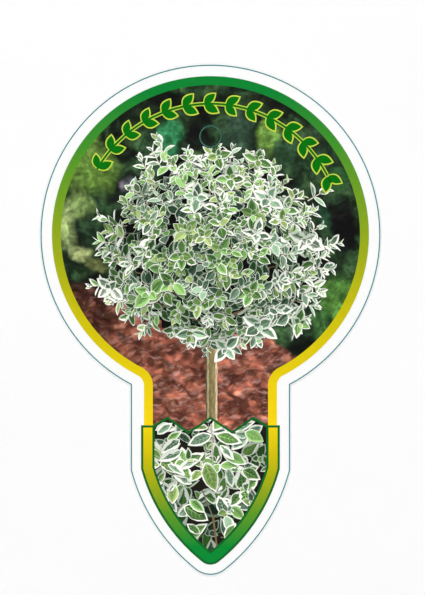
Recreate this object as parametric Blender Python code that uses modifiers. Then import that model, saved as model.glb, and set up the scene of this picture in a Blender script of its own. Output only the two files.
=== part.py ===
"""A die-cut plastic plant label: a round head, a short neck and a pointed spike, printed on its face.

The label lies flat on its back. +Y runs to the head, +X to the right, +Z out of the printed face.
The origin is under the middle of the label, on the plane that it lies on. Lengths are in metres.
"""

import math
import random

import bmesh
import bpy
from mathutils import Matrix

MM = 0.001

# Heights of the layers: the sheet, then up to three films of print on its face
SHEET_THICKNESS = 0.5 * MM
FILM_THICKNESS = 0.06 * MM
RIM_ROUNDING = 0.1 * MM
CUTTER_HEIGHT = 2.0

# The cut outline: a round head, a straight neck, and a spike between two long arcs
HEAD_CENTRE_Y = 25.0 * MM
HEAD_RADIUS = 50.0 * MM
NECK_HALF_WIDTH = 23.5 * MM
SPIKE_ARC_RADIUS = 55.3 * MM
SPIKE_ARC_PAST_MIDDLE = 30.0 * MM
SPIKE_ARC_Y = -30.16 * MM
TIP_Y = -75.0 * MM
TIP_RADIUS = 7.05 * MM

# The hang hole near the top of the head: a disc cut round by slots and held by small bridges
HOLE_Y = 53.8 * MM
HOLE_RADIUS = 3.1 * MM
HOLE_SLOT_WIDTH = 0.1 * MM
HOLE_BRIDGE = 0.5 * MM
HOLE_BRIDGE_ANGLES = (30.0, 150.0, 270.0)

# The thin printed lines along the cut edge and round the hang hole
EDGE_LINE_INSET = 0.15 * MM
EDGE_LINE_WIDTH = 0.3 * MM
HOLE_LINE_WIDTH = 0.4 * MM

# The coloured band round the head and down the neck
BAND_HEAD_RADIUS = 46.5 * MM
BAND_NECK_HALF_WIDTH = 19.5 * MM
BAND_NECK_FILLET = 3.3 * MM
BAND_WIDTH = 2.6 * MM

# The picture inside the band: where its bark ground meets the garden behind it
GROUND_LEFT_ANGLE = 198.0
GROUND_RIGHT_ANGLE = -48.0

# The shield on the spike: a dark line, a band, a second dark line and a picture
SHIELD_INSET = 3.15 * MM
SHIELD_LINE = 0.65 * MM
SHIELD_BAND = 2.65 * MM
SHIELD_BAR_Y = -31.3 * MM
ZIGZAG_PEAK_Y = -28.8 * MM
ZIGZAG_VALLEY_Y = -33.1 * MM
ZIGZAG_SIDE_PEAK_X = 12.5 * MM
ZIGZAG_VALLEY_X = 6.4 * MM
ZIGZAG_HALF_HEIGHT = 0.39 * MM

# The pictured tree: a trunk and a round crown
TRUNK_LEFT_X = -1.45 * MM
TRUNK_RIGHT_X = 2.06 * MM
TRUNK_TOP_Y = -7.4 * MM
CROWN_X = 1.3 * MM
CROWN_Y = 19.8 * MM
CROWN_HALF_WIDTH = 32.0 * MM
CROWN_HALF_HEIGHT = 26.0 * MM
CROWN_LEAF = 4.2 * MM
CROWN_LEAF_COUNT = 50

# The sprigs that stand out of the crown: their angle round it and how far they reach
SPRIG_WIDTH_ANGLE = 7.0
SPRIGS = (
    (-42.0, 3.2 * MM),
    (-8.0, 2.2 * MM),
    (24.0, 3.4 * MM),
    (61.0, 1.4 * MM),
    (122.0, 3.6 * MM),
    (165.0, 1.6 * MM),
    (198.0, 4.4 * MM),
    (228.0, 2.2 * MM),
)

# The leafy shoots of the crown, in rings: how many, and how many steps from the middle
SHOOT_RINGS = ((1, 0.0), (6, 1.0), (12, 2.0))
SHOOT_STEP_X = 12.8 * MM
SHOOT_STEP_Y = 10.8 * MM
SHOOT_RADIUS = 5.4 * MM
SHOOT_LEAF_COUNT = 6

# The larger shoots in the close view on the shield: name, place and radius
CLOSE_SHOOTS = (
    ("left", -8.6 * MM, -41.0 * MM, 7.0 * MM),
    ("right", 8.6 * MM, -41.0 * MM, 7.0 * MM),
    ("peak", 0.0 * MM, -34.9 * MM, 3.0 * MM),
    ("middle", 0.0 * MM, -52.5 * MM, 7.0 * MM),
    ("tip", 0.0 * MM, -62.8 * MM, 3.0 * MM),
)

# A shoot's bare middle, as a share of its radius
SHOOT_HEART = 0.3

# The garland of small leaves over the picture, along an arc round the head's centre
GARLAND_RADIUS = 38.4 * MM
GARLAND_START_ANGLE = 150.0
GARLAND_END_ANGLE = 27.0
GARLAND_LEAF_PAIRS = 14
GARLAND_LEAF_LENGTH = 3.6 * MM
GARLAND_LEAF_WIDTH = 1.9 * MM
GARLAND_LEAF_LEAN = 38.0
GARLAND_VINE_WIDTH = 0.5 * MM

# Where a pair's outer and inner leaves root, as shares of the step between pairs
GARLAND_OUTER_ROOT = 0.47
GARLAND_INNER_ROOT = 0.23

# A garland leaf from root to tip: how far along, and half its width, as shares
GARLAND_LEAF_PROFILE = ((0.0, 0.14), (0.28, 0.42), (0.55, 0.5), (0.82, 0.25), (1.0, 0.0))

# Colours of the plastic and the inks
WHITE = (0.9, 0.91, 0.9)
TEAL = (0.25, 0.36, 0.34)
YELLOW_GREEN = (0.45, 0.5, 0.01)
LIME_GREEN = (0.35, 0.45, 0.01)
DARK_GREEN = (0.01, 0.1, 0.01)
GARDEN_GREEN = (0.02, 0.05, 0.015)
SHADE_GREEN = (0.01, 0.025, 0.01)
BARK_BROWN = (0.26, 0.09, 0.05)
TRUNK_BROWN = (0.22, 0.19, 0.09)
CROWN_GREEN = (0.1, 0.16, 0.07)
LEAF_CREAM = (0.45, 0.55, 0.35)
GARLAND_GREEN = (0.02, 0.3, 0.02)
ROUGHNESS = 0.4

# How finely arcs are divided
ARC_CHORD = 2.0 * MM
WIDEST_STEP = 10.0
SAME_POINT = 0.001 * MM

# A leaf at the edge of a mass: how far across its slot and how high, as shares
LOBE_PROFILE = (
    (0.0, 0.0), (0.05, 0.26), (0.13, 0.55), (0.29, 0.82),
    (0.5, 1.0), (0.71, 0.82), (0.87, 0.55), (0.95, 0.26),
)
LOBE_LEAN = 0.17
SHORTEST_LOBE = 0.7
NARROWEST_SLOT = 0.7


def on_circle(centre, radius, degrees):
    """The point of a circle at an angle."""
    angle = math.radians(degrees)
    return (centre[0] + radius * math.cos(angle), centre[1] + radius * math.sin(angle))


def arc(centre, radius, start, end):
    """Points along an arc from one angle to another, in an even number of steps, with both ends."""
    turn = abs(end - start)
    by_length = math.radians(turn) * radius / ARC_CHORD
    steps = 2 * math.ceil(max(by_length, turn / WIDEST_STEP) / 2)
    return [on_circle(centre, radius, start + (end - start) * i / steps) for i in range(steps + 1)]


def hole_circle(outset):
    """A closed loop round the hang hole, moved outwards by an outset."""
    return joined(arc((0.0, HOLE_Y), HOLE_RADIUS + outset, 0.0, 360.0))


def mirrored(path):
    """The same path on the other side of the centre line, run the other way."""
    return [(-x, y) for x, y in reversed(path)]


def joined(*paths):
    """One closed loop from several paths, without doubled points."""
    loop = []
    for x, y in (point for path in paths for point in path):
        if not loop or math.dist(loop[-1], (x, y)) > SAME_POINT:
            loop.append((x, y))
    if math.dist(loop[0], loop[-1]) <= SAME_POINT:
        loop.pop()
    return loop


def spike_side(inset, top):
    """The right side of the spike from its tip up to a height, moved inwards by an inset."""
    radius = SPIKE_ARC_RADIUS - inset
    centre = (-SPIKE_ARC_PAST_MIDDLE, SPIKE_ARC_Y)
    half_width = NECK_HALF_WIDTH - inset
    shoulder = -math.degrees(math.acos((half_width + SPIKE_ARC_PAST_MIDDLE) / radius))
    tip_radius = TIP_RADIUS - inset
    if tip_radius > 0:
        tip_centre = (0.0, TIP_Y + TIP_RADIUS)
        foot = math.degrees(math.atan2(tip_centre[1] - SPIKE_ARC_Y, SPIKE_ARC_PAST_MIDDLE))
        tip = arc(tip_centre, tip_radius, -90.0, foot)
    else:
        foot = -math.degrees(math.acos(SPIKE_ARC_PAST_MIDDLE / radius))
        tip = [(0.0, SPIKE_ARC_Y + radius * math.sin(math.radians(foot)))]
    return tip + arc(centre, radius, foot, shoulder) + [(half_width, top)]


def spike_path(inset, top):
    """Both sides of the spike, from the left top round the tip to the right top."""
    right = spike_side(inset, top)
    return mirrored(right) + right


def cut_outline(inset):
    """The whole label's outline, moved inwards by an inset."""
    radius = HEAD_RADIUS - inset
    corner = math.degrees(math.acos((NECK_HALF_WIDTH - inset) / radius))
    head = arc((0.0, HEAD_CENTRE_Y), radius, -corner, 180.0 + corner)
    return joined(head, spike_path(inset, head[-1][1]))


def hole_slots():
    """The slots that cut the hang hole's disc free, between its bridges."""
    centre = (0.0, HOLE_Y)
    bridge = math.degrees(HOLE_BRIDGE / HOLE_RADIUS) / 2
    span = 360.0 / len(HOLE_BRIDGE_ANGLES) - 2 * bridge
    slots = []
    for angle in HOLE_BRIDGE_ANGLES:
        start = angle + bridge
        outer = arc(centre, HOLE_RADIUS + HOLE_SLOT_WIDTH / 2, start, start + span)
        inner = arc(centre, HOLE_RADIUS - HOLE_SLOT_WIDTH / 2, start + span, start)
        slots.append(joined(outer, inner))
    return slots


def neck_curve(inset):
    """The right side of the neck up to the head, with the fillet between them, and its end angle."""
    radius = BAND_HEAD_RADIUS - inset
    half_width = BAND_NECK_HALF_WIDTH - inset
    fillet = BAND_NECK_FILLET + inset
    drop = math.sqrt((radius + fillet) ** 2 - (half_width + fillet) ** 2)
    angle = math.degrees(math.atan2(drop, half_width + fillet))
    centre = (half_width + fillet, HEAD_CENTRE_Y - drop)
    foot = (half_width, SHIELD_BAR_Y + SHIELD_LINE / 2)
    return [foot] + arc(centre, fillet, 180.0, 180.0 - angle), -angle


def ground_sides(inset):
    """The neck and the head's lower right, up to where the bark ground ends, then the same at the left."""
    side, start = neck_curve(inset)
    centre = (0.0, HEAD_CENTRE_Y)
    radius = BAND_HEAD_RADIUS - inset
    right = side + arc(centre, radius, start, GROUND_RIGHT_ANGLE)
    left = arc(centre, radius, GROUND_LEFT_ANGLE, 180.0 - start) + mirrored(side)
    return right, left


def garden_arc(inset):
    """The rest of the head, over the top from the ground's right end to its left end."""
    radius = BAND_HEAD_RADIUS - inset
    return arc((0.0, HEAD_CENTRE_Y), radius, GROUND_RIGHT_ANGLE, GROUND_LEFT_ANGLE)


def band_edge(inset):
    """One edge of the band round the head, from the right foot of the neck to the left."""
    right, left = ground_sides(inset)
    return right + garden_arc(inset) + left


def zigzag(side, end_x):
    """The upper edge (side 1) or lower edge (side -1) of the shield's zigzag, right to left."""
    lift = side * ZIGZAG_HALF_HEIGHT
    right = [
        (end_x, SHIELD_BAR_Y + side * SHIELD_LINE / 2),
        (ZIGZAG_SIDE_PEAK_X, ZIGZAG_PEAK_Y + lift),
        (ZIGZAG_VALLEY_X, ZIGZAG_VALLEY_Y + lift),
    ]
    return right + [(0.0, ZIGZAG_PEAK_Y + lift)] + mirrored(right)


def shield_picture_loop():
    """The shield's inner picture: the zigzag on top, the spike's shape below."""
    inset = SHIELD_INSET + 2 * SHIELD_LINE + SHIELD_BAND
    top = SHIELD_BAR_Y - SHIELD_LINE / 2
    return joined(spike_path(inset, top), zigzag(-1, NECK_HALF_WIDTH - inset))


def shield_band_loop():
    """The coloured band of the shield, a U between its two dark lines."""
    top = SHIELD_BAR_Y - SHIELD_LINE / 2
    outer = spike_path(SHIELD_INSET + SHIELD_LINE, top)
    inner = spike_path(SHIELD_INSET + SHIELD_LINE + SHIELD_BAND, top)
    return joined(outer, reversed(inner))


def shield_outer_loop():
    """The outside of the shield's dark line, with the zigzag on top."""
    top = SHIELD_BAR_Y + SHIELD_LINE / 2
    return joined(spike_path(SHIELD_INSET, top), zigzag(1, BAND_NECK_HALF_WIDTH - BAND_WIDTH))


def leafy_path(centre, half_width, half_height, leaf, count, seed, start=0.0, sweep=360.0, sprigs=()):
    """The edge of a mass of foliage: a row of pointed leaves that lean a little to either side."""
    rng = random.Random(seed)
    slots = [rng.uniform(NARROWEST_SLOT, 2.0 - NARROWEST_SLOT) for _ in range(count)]
    path = []
    passed = 0.0
    for slot in slots:
        length = leaf * rng.uniform(SHORTEST_LOBE, 1.0)
        lean = rng.uniform(-LOBE_LEAN, LOBE_LEAN)
        for share, rise in LOBE_PROFILE:
            degrees = start + sweep * (passed + slot * (share + lean * rise)) / sum(slots)
            reach = length * rise + sprig_reach(degrees, sprigs)
            angle = math.radians(degrees)
            x = centre[0] + (half_width + reach) * math.cos(angle)
            y = centre[1] + (half_height + reach) * math.sin(angle)
            path.append((x, y))
        passed += slot
    return path


def sprig_reach(degrees, sprigs):
    """How far the sprigs push the crown's edge out at an angle."""
    reach = 0.0
    for middle, rise in sprigs:
        turn = (degrees - middle + 180.0) % 360.0 - 180.0
        reach += rise * math.exp(-((turn / SPRIG_WIDTH_ANGLE) ** 2))
    return reach


def crown_loop():
    """The crown's edge, with a flat seat under it for the top of the trunk."""
    right = math.degrees(math.acos((TRUNK_RIGHT_X - CROWN_X) / CROWN_HALF_WIDTH))
    left = math.degrees(math.acos((TRUNK_LEFT_X - CROWN_X) / CROWN_HALF_WIDTH))
    edge = leafy_path(
        (CROWN_X, CROWN_Y), CROWN_HALF_WIDTH, CROWN_HALF_HEIGHT, CROWN_LEAF, CROWN_LEAF_COUNT,
        seed=7, start=-right, sweep=360.0 - left + right, sprigs=SPRIGS,
    )
    return joined([(TRUNK_RIGHT_X, TRUNK_TOP_Y)], edge, [(TRUNK_LEFT_X, TRUNK_TOP_Y)])


def trunk_loop():
    """The trunk, from the crown down to the zigzag's middle peak."""
    peak = ZIGZAG_PEAK_Y + ZIGZAG_HALF_HEIGHT
    slope = (ZIGZAG_PEAK_Y - ZIGZAG_VALLEY_Y) / ZIGZAG_VALLEY_X
    foot_right = (TRUNK_RIGHT_X, peak - slope * TRUNK_RIGHT_X)
    foot_left = (TRUNK_LEFT_X, peak + slope * TRUNK_LEFT_X)
    top = [(TRUNK_RIGHT_X, TRUNK_TOP_Y), (TRUNK_LEFT_X, TRUNK_TOP_Y)]
    return top + [foot_left, (0.0, peak), foot_right]


def garland_side(side):
    """One edge of the garland's vine, outer (1) or inner (-1), with a leaf at each step."""
    centre = (0.0, HEAD_CENTRE_Y)
    span = GARLAND_END_ANGLE - GARLAND_START_ANGLE
    radius = GARLAND_RADIUS + side * GARLAND_VINE_WIDTH / 2
    root = GARLAND_OUTER_ROOT if side > 0 else GARLAND_INNER_ROOT
    path = [on_circle(centre, radius, GARLAND_START_ANGLE)]
    for index in range(GARLAND_LEAF_PAIRS):
        share = (index + root) / GARLAND_LEAF_PAIRS
        degrees = GARLAND_START_ANGLE + span * share
        path += garland_leaf(on_circle(centre, radius, degrees), degrees, side)
    path.append(on_circle(centre, radius, GARLAND_END_ANGLE))
    return path


def garland_leaf(root, degrees, side):
    """A pointed leaf that leans forward along the vine from its root."""
    heading = math.radians(degrees + (-90.0 + side * (90.0 - GARLAND_LEAF_LEAN)))
    along = (math.cos(heading), math.sin(heading))
    across = (-along[1] * side, along[0] * side)
    outline = list(GARLAND_LEAF_PROFILE)
    outline += [(share, -width) for share, width in reversed(GARLAND_LEAF_PROFILE[:-1])]
    return [
        (
            root[0] + GARLAND_LEAF_LENGTH * share * along[0] + GARLAND_LEAF_WIDTH * width * across[0],
            root[1] + GARLAND_LEAF_LENGTH * share * along[1] + GARLAND_LEAF_WIDTH * width * across[1],
        )
        for share, width in outline
    ]


def garland_loop():
    """The garland's outline: out along the outer edge and back along the inner one."""
    return joined(garland_side(1), reversed(garland_side(-1)))


def plastic(name, colour):
    """A satin plastic or printed ink of one colour."""
    material = bpy.data.materials.new(name)
    material.use_nodes = True
    shader = material.node_tree.nodes["Principled BSDF"]
    shader.inputs["Base Color"].default_value = (*colour, 1.0)
    shader.inputs["Roughness"].default_value = ROUGHNESS
    shader.inputs["Metallic"].default_value = 0.0
    material.diffuse_color = (*colour, 1.0)
    return material


def flat_piece(name, loops, layer, colour, collection, thickness=FILM_THICKNESS):
    """A flat piece cut to its outer loop, with any further loops as holes, on a layer of print."""
    curve = bpy.data.curves.new(name, "CURVE")
    curve.dimensions = "2D"
    curve.fill_mode = "BOTH"
    curve.extrude = thickness / MM / 2
    for loop in loops:
        spline = curve.splines.new("POLY")
        spline.points.add(len(loop) - 1)
        spline.use_cyclic_u = True
        for point, (x, y) in zip(spline.points, loop):
            point.co = (x / MM, y / MM, 0.0, 1.0)
    outline = bpy.data.objects.new(name, curve)
    collection.objects.link(outline)
    mesh = solid_mesh(outline)
    bpy.data.objects.remove(outline)
    bpy.data.curves.remove(curve)
    piece = bpy.data.objects.new(name, mesh)
    piece.location.z = thickness / 2
    if layer:
        piece.location.z += SHEET_THICKNESS + (layer - 1) * FILM_THICKNESS
    mesh.materials.append(plastic(name + "_finish", colour))
    collection.objects.link(piece)
    return piece


def solid_mesh(outline):
    """A closed mesh in metres from a filled outline drawn in millimetres."""
    graph = bpy.context.evaluated_depsgraph_get()
    mesh = bpy.data.meshes.new_from_object(outline.evaluated_get(graph))
    shell = bmesh.new()
    shell.from_mesh(mesh)
    bmesh.ops.remove_doubles(shell, verts=shell.verts, dist=SAME_POINT / MM)
    bmesh.ops.recalc_face_normals(shell, faces=shell.faces)
    bmesh.ops.transform(shell, matrix=Matrix.Scale(MM, 4), verts=shell.verts)
    shell.to_mesh(mesh)
    shell.free()
    mesh.materials.clear()
    return mesh


def round_rims(piece):
    """Softens the sheet's cut edges."""
    bevel = piece.modifiers.new("rim", "BEVEL")
    bevel.width = RIM_ROUNDING
    bevel.segments = 2
    bevel.limit_method = "ANGLE"
    bevel.angle_limit = math.radians(70.0)
    piece.data.shade_smooth()
    piece.data.set_sharp_from_angle(angle=math.radians(35.0))


def cut_hole_slots(sheet, cutters):
    """Cuts the hang hole's slots through the sheet, after its rims are rounded."""
    cutter = flat_piece("hole_slot_cutter", hole_slots(), 0, WHITE, cutters, SHEET_THICKNESS)
    cutter.scale.z = CUTTER_HEIGHT
    cutter.hide_render = True
    cutter.display_type = "WIRE"
    cut = sheet.modifiers.new("hole_slots", "BOOLEAN")
    cut.operation = "DIFFERENCE"
    cut.object = cutter


def build_sheet(collection, cutters):
    """The white plastic sheet with its hang hole."""
    sheet = flat_piece("label_sheet", [cut_outline(0.0)], 0, WHITE, collection, SHEET_THICKNESS)
    round_rims(sheet)
    cut_hole_slots(sheet, cutters)


def build_edge_lines(collection):
    """The thin blue-green lines that follow the cut edge and the hang hole."""
    inner = EDGE_LINE_INSET + EDGE_LINE_WIDTH
    ring = [cut_outline(EDGE_LINE_INSET), cut_outline(inner)]
    flat_piece("edge_line_print", ring, 1, TEAL, collection)
    ring = [hole_circle(HOLE_LINE_WIDTH / 2), hole_circle(-HOLE_LINE_WIDTH / 2)]
    flat_piece("hole_line_print", ring + hole_slots(), 1, TEAL, collection)


def build_head_print(collection):
    """The band round the head and the two grounds of the picture inside it."""
    band = joined(band_edge(0.0), reversed(band_edge(BAND_WIDTH)))
    flat_piece("head_band_print", [band], 1, YELLOW_GREEN, collection)
    garden = [joined(garden_arc(BAND_WIDTH)), hole_circle(HOLE_LINE_WIDTH / 2)]
    flat_piece("garden_print", garden, 1, GARDEN_GREEN, collection)
    flat_piece("hole_disc_print", [hole_circle(-HOLE_LINE_WIDTH / 2)], 1, GARDEN_GREEN, collection)
    right, left = ground_sides(BAND_WIDTH)
    bark = joined(right, left, reversed(zigzag(1, BAND_NECK_HALF_WIDTH - BAND_WIDTH)))
    flat_piece("bark_print", [bark], 1, BARK_BROWN, collection)


def build_shield_print(collection):
    """The shield on the spike: its dark lines, its band and its picture."""
    loops = [shield_outer_loop(), shield_band_loop(), shield_picture_loop()]
    flat_piece("shield_line_print", loops, 1, DARK_GREEN, collection)
    flat_piece("shield_band_print", [shield_band_loop()], 1, LIME_GREEN, collection)
    flat_piece("shield_picture_print", [shield_picture_loop()], 1, SHADE_GREEN, collection)


def leafy_shoot(name, x, y, radius, layer, seed, collection):
    """A shoot seen from its tip: a small heart with pointed leaves all round."""
    heart = SHOOT_HEART * radius
    start = random.Random(seed).uniform(0.0, 360.0)
    loop = leafy_path((x, y), heart, heart, radius - heart, SHOOT_LEAF_COUNT, seed, start)
    flat_piece(name, [joined(loop)], layer, LEAF_CREAM, collection)


def build_tree_print(collection):
    """The pictured tree: its trunk, its crown and the crown's leafy shoots."""
    flat_piece("trunk_print", [trunk_loop()], 2, TRUNK_BROWN, collection)
    flat_piece("crown_print", [crown_loop()], 2, CROWN_GREEN, collection)
    number = 0
    for count, ring in SHOOT_RINGS:
        for index in range(count):
            number += 1
            angle = 2 * math.pi * index / count
            x = CROWN_X + ring * SHOOT_STEP_X * math.cos(angle)
            y = CROWN_Y + ring * SHOOT_STEP_Y * math.sin(angle)
            leafy_shoot(f"crown_shoot_{number:02d}", x, y, SHOOT_RADIUS, 3, number, collection)


def build_close_view(collection):
    """The larger leaves in the shield's picture."""
    for seed, (name, x, y, radius) in enumerate(CLOSE_SHOOTS):
        leafy_shoot("close_shoot_" + name, x, y, radius, 2, seed, collection)


def build_garland(collection):
    """The garland of small leaves over the picture."""
    flat_piece("garland_print", [garland_loop()], 2, GARLAND_GREEN, collection)


def build_label():
    """The whole label in one collection, and the cutter of its slots in another."""
    for thing in list(bpy.data.objects):
        bpy.data.objects.remove(thing)
    collection = bpy.data.collections.new("plant_label")
    cutters = bpy.data.collections.new("cutters")
    bpy.context.scene.collection.children.link(collection)
    bpy.context.scene.collection.children.link(cutters)
    build_sheet(collection, cutters)
    build_edge_lines(collection)
    build_head_print(collection)
    build_shield_print(collection)
    build_tree_print(collection)
    build_close_view(collection)
    build_garland(collection)


build_label()
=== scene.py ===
"""The looks of a die-cut plant label: satin white plastic with a printed picture of a variegated shrub.

The pictured foliage is modelled in space, shoot by shoot, then pressed flat: only what shows from the
front is kept, as one film of ink with no overlaps. Lengths are in millimetres until a mesh is made.
"""

import math
import random
from typing import NamedTuple

import bmesh
import bpy
import numpy as np
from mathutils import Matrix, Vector, noise
from mathutils.geometry import convex_hull_2d, delaunay_2d_cdt


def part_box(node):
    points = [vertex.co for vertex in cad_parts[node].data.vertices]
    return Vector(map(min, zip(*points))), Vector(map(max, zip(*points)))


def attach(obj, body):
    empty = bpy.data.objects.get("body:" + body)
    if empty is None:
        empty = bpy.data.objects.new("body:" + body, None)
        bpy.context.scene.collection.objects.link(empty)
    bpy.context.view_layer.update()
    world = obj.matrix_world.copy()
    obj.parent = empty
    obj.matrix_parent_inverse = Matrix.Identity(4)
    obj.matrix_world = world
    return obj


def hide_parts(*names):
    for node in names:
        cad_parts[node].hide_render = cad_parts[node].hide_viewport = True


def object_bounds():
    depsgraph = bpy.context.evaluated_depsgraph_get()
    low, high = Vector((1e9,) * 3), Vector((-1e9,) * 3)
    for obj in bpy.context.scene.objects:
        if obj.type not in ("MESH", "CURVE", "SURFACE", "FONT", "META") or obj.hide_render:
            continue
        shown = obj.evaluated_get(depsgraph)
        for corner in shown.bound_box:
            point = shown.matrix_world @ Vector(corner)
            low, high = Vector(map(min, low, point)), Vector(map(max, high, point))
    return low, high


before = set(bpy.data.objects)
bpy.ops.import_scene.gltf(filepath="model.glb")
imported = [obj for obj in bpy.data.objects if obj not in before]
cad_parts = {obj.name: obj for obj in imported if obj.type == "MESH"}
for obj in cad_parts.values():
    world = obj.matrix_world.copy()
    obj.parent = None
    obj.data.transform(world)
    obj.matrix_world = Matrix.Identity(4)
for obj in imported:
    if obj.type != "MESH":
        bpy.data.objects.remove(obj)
CAD_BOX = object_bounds()

MM = 0.001

# The photograph's frame and where the label's middle lies in it, in pixels
PHOTO_WIDTH = 425
PHOTO_HEIGHT = 595
LABEL_PIXELS_WIDE = 340.8
LABEL_MIDDLE_X = 210.45
LABEL_MIDDLE_Y = 319.8
CAMERA_HEIGHT = 700.0
SENSOR_WIDTH = 36.0

# The room: a round white table whose edge sweeps up into a low wall, and the lamps over it
TABLE_DROP = 0.02
TABLE_RADIUS = 900.0
WALL_SWEEP = 400.0
WALL_HEIGHT = 900.0
TABLE_SIDES = 96
SWEEP_STEPS = 12
TABLE_WHITES = ((250, 250, 250), (253, 253, 253))
TABLE_WAVES = 0.02
LAMP_AWAY = 850.0
LAMP_HEIGHT = 800.0
LAMP_SIZE = 500.0
LAMP_ANGLES = (55.0, 125.0, 235.0, 305.0)
LAMP_POWERS = (3.15, 3.8, 2.65, 2.65)
ROOM_LIGHT = 0.285

# Tops of the printed films over the table, and their thickness
SECOND_FILM_TOP = 0.62
GARLAND_EDGE_TOP = 0.65
GARLAND_TOP = 0.68
FILM_THICKNESS = 0.06

# The middle of the label's head, and of the hang hole in it with how far round it no leaf is printed
HEAD_CENTRE = Vector((0.0, 25.0))
HOLE_CENTRE = Vector((0.0, 53.8))
HOLE_CLEARANCE = 3.5

# Printed tones of each thing in the picture: darkest, lightest, and how many steps between
TONES = {
    "cream": ((2, 38, 4), (255, 255, 246), 9),
    "grey_green": ((14, 36, 22), (188, 224, 186), 8),
    "mid_green": ((12, 38, 12), (168, 222, 128), 8),
    "fresh_green": ((40, 80, 26), (202, 226, 142), 6),
    "underside": ((18, 40, 18), (166, 204, 140), 6),
    "twig": ((44, 38, 26), (232, 226, 206), 6),
    "bough": ((20, 16, 12), (128, 104, 74), 5),
    "gap": ((7, 10, 7), (26, 34, 20), 3),
    "trunk": ((140, 125, 80), (140, 125, 80), 1),
}
LEAF_KINDS = ("cream", "grey_green", "mid_green", "fresh_green", "underside")
SHOOT_KINDS = ("grey_green", "mid_green", "fresh_green")
TWIG_KINDS = ("twig", "bough")

# A leaf from root to tip: how far along, and half its width, as shares
LEAF_PROFILE = ((0.1, 0.24), (0.26, 0.43), (0.47, 0.5), (0.68, 0.42), (0.86, 0.22))
# How far its halves fold up, in degrees, how far its tip bends, and when it is seen only as a sliver
LEAF_FOLD = (8.0, 26.0)
LEAF_CURL = (0.0, 0.14)
EDGE_ON = 0.2
# Its own brightness, what it keeps in shadow, and the light that comes through to its underside
LEAF_TONES = (0.5, 1.25)
SHADOW_SHARE = 0.42
THROUGH_LIGHT = 0.3
THROUGH_LIGHT_GAIN = 0.4
# Its pale margin: how its width wanders, how narrow it is at the tip, and its brightness
RIM_WANDER = (0.3, 1.8)
RIM_AT_TIP = 0.5
RIM_TONE = 1.13
RIM_CONTRAST = 0.38
# The green inside the margin: where it starts, how far it reaches, and its least and most width
GREEN_START = 0.06
GREEN_REACH = 0.94
GREEN_WIDTHS = (0.06, 0.94)
# The paler zone that some leaves have between margin and core: how wide, how bright, and on which
FEATHER = 0.3
FEATHER_WANDER = (0.5, 1.6)
FEATHER_TONE = 1.34
FEATHER_LEAST_GLOW = 0.3
FEATHER_CHANCE = 0.7
# The core inside that zone: where it starts, how far its widest places reach, and where it ends
CORE_START = 0.1
CORE_REACH = 0.74
CORE_END = 0.86
# The darker blotch down the middle of some leaves
BLOTCH_CHANCE = 0.5
BLOTCH_START = 0.12
BLOTCH_REACH = 0.62
BLOTCH_END = 0.76
BLOTCH_WIDTHS = (0.3, 0.6)
BLOTCH_TONE = 0.74
# The midrib's corners, as shares along the leaf and across it, and the veins that leave it
MIDRIB = ((0.04, 0.0), (0.1, 0.035), (0.8, 0.0))
VEIN_START = 0.14
VEIN_SPREAD = 0.62
VEIN_RUN = 0.17
VEIN_WIDTH = 0.025
VEIN_TONE = 1.3
# The shade that a leaf throws on what is behind: how far it falls, as a share of the leaf, how dark,
# and how little of it a pale margin takes
SHADE_FALL = 0.085
SHADE_TONES = (1.0, 0.6, 0.36)
RIM_SHADE = 0.22

# A shoot's stem: its width at the root, how much less it is at the tip, and how it bends as it grows
TWIG_WIDTH = 0.34
TWIG_TAPER = 0.12
STEM_RISE = 0.05
STEM_WANDER = 0.08
# How wide a piece of any stem still is at its end, as a share
STEM_TAPER = 0.85
# Its pairs of leaves: how far each is off square, in radians, how far they spread from the stem, how
# much that closes to the tip and how far it wanders, in degrees, and how far they face light and front
PAIR_TWIST = 0.35
LEAF_SPREAD = 72.0
LEAF_SPREAD_CLOSES = 44.0
LEAF_SPREAD_WANDER = 10.0
LEAF_TO_LIGHT = 0.3
LEAF_TO_FRONT = 0.3
# How its leaves shorten to the tip, and how their length, margin and brightness vary
LEAF_SHORTENS = 0.42
LEAF_SHORTENS_CURVE = 1.8
LEAF_LENGTHS = (0.85, 1.12)
LEAF_MARGINS = (0.7, 1.3)
LEAF_GLOWS = (0.9, 1.08)
FRESH_PAIRS = 2
FRESH_MARGIN = 0.6

# What is too small to print, how finely cover is sampled, how near two points are one, and up to
# which angle between them, in radians, facets of one tone are one
SMALLEST_FACET = 0.003
SAMPLE = 0.2
MERGE = 0.0005
FLAT_ANGLE = 0.01

UP = Vector((0.0, 1.0, 0.0))
NEAR = Vector((0.0, 0.0, 1.0))
LIGHT = Vector((-0.18, 0.82, 0.54)).normalized()

# The crown of the pictured shrub, and the low swells on it
CROWN_CENTRE = Vector((1.3, 20.4, 0.0))
CROWN_REACH = Vector((35.2, 31.4, 28.0))
CROWN_FOOT_REACH = 29.8
CROWN_SWELL = 0.05
CROWN_SWELL_WAVES = 2.3
CROWN_SWELL_PLACE = Vector((7.0, 3.0, 5.0))
# Dents in its outline, and bulges where negative: their angle and depth, as a share
CROWN_DENTS = (
    (18, 0.06), (40, 0.11), (76, 0.03), (137, 0.03), (157, 0.1),
    (203, -0.05), (242, 0.05), (300, 0.08), (316, -0.07),
)
CROWN_DENT_WIDTH = 9.0
# The shade inside it: how dark, out to which share of its reach, and over what share it fades
CROWN_DARKEST = 0.25
CROWN_DARK_TO = 0.68
CROWN_DARK_FADE = 0.26

# How bright its shoots are, and by how much that changes to the front, right, edges and top
CROWN_GLOW = 1.04
GLOW_LOST_IN_FRONT = 0.2
GLOW_ON_THE_RIGHT = 0.25
GLOW_UP_AND_DOWN = 0.2
GLOW_AT_THE_TOP = 0.16
GLOW_WANDER = (-0.2, 0.16)
# Their kinds at its edge, as shares, and by how much those change to the front
KIND_SHARES = (0.5, 0.4, 0.12)
KIND_SHARES_IN_FRONT = (-0.3, 0.25, 0.0)
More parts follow.
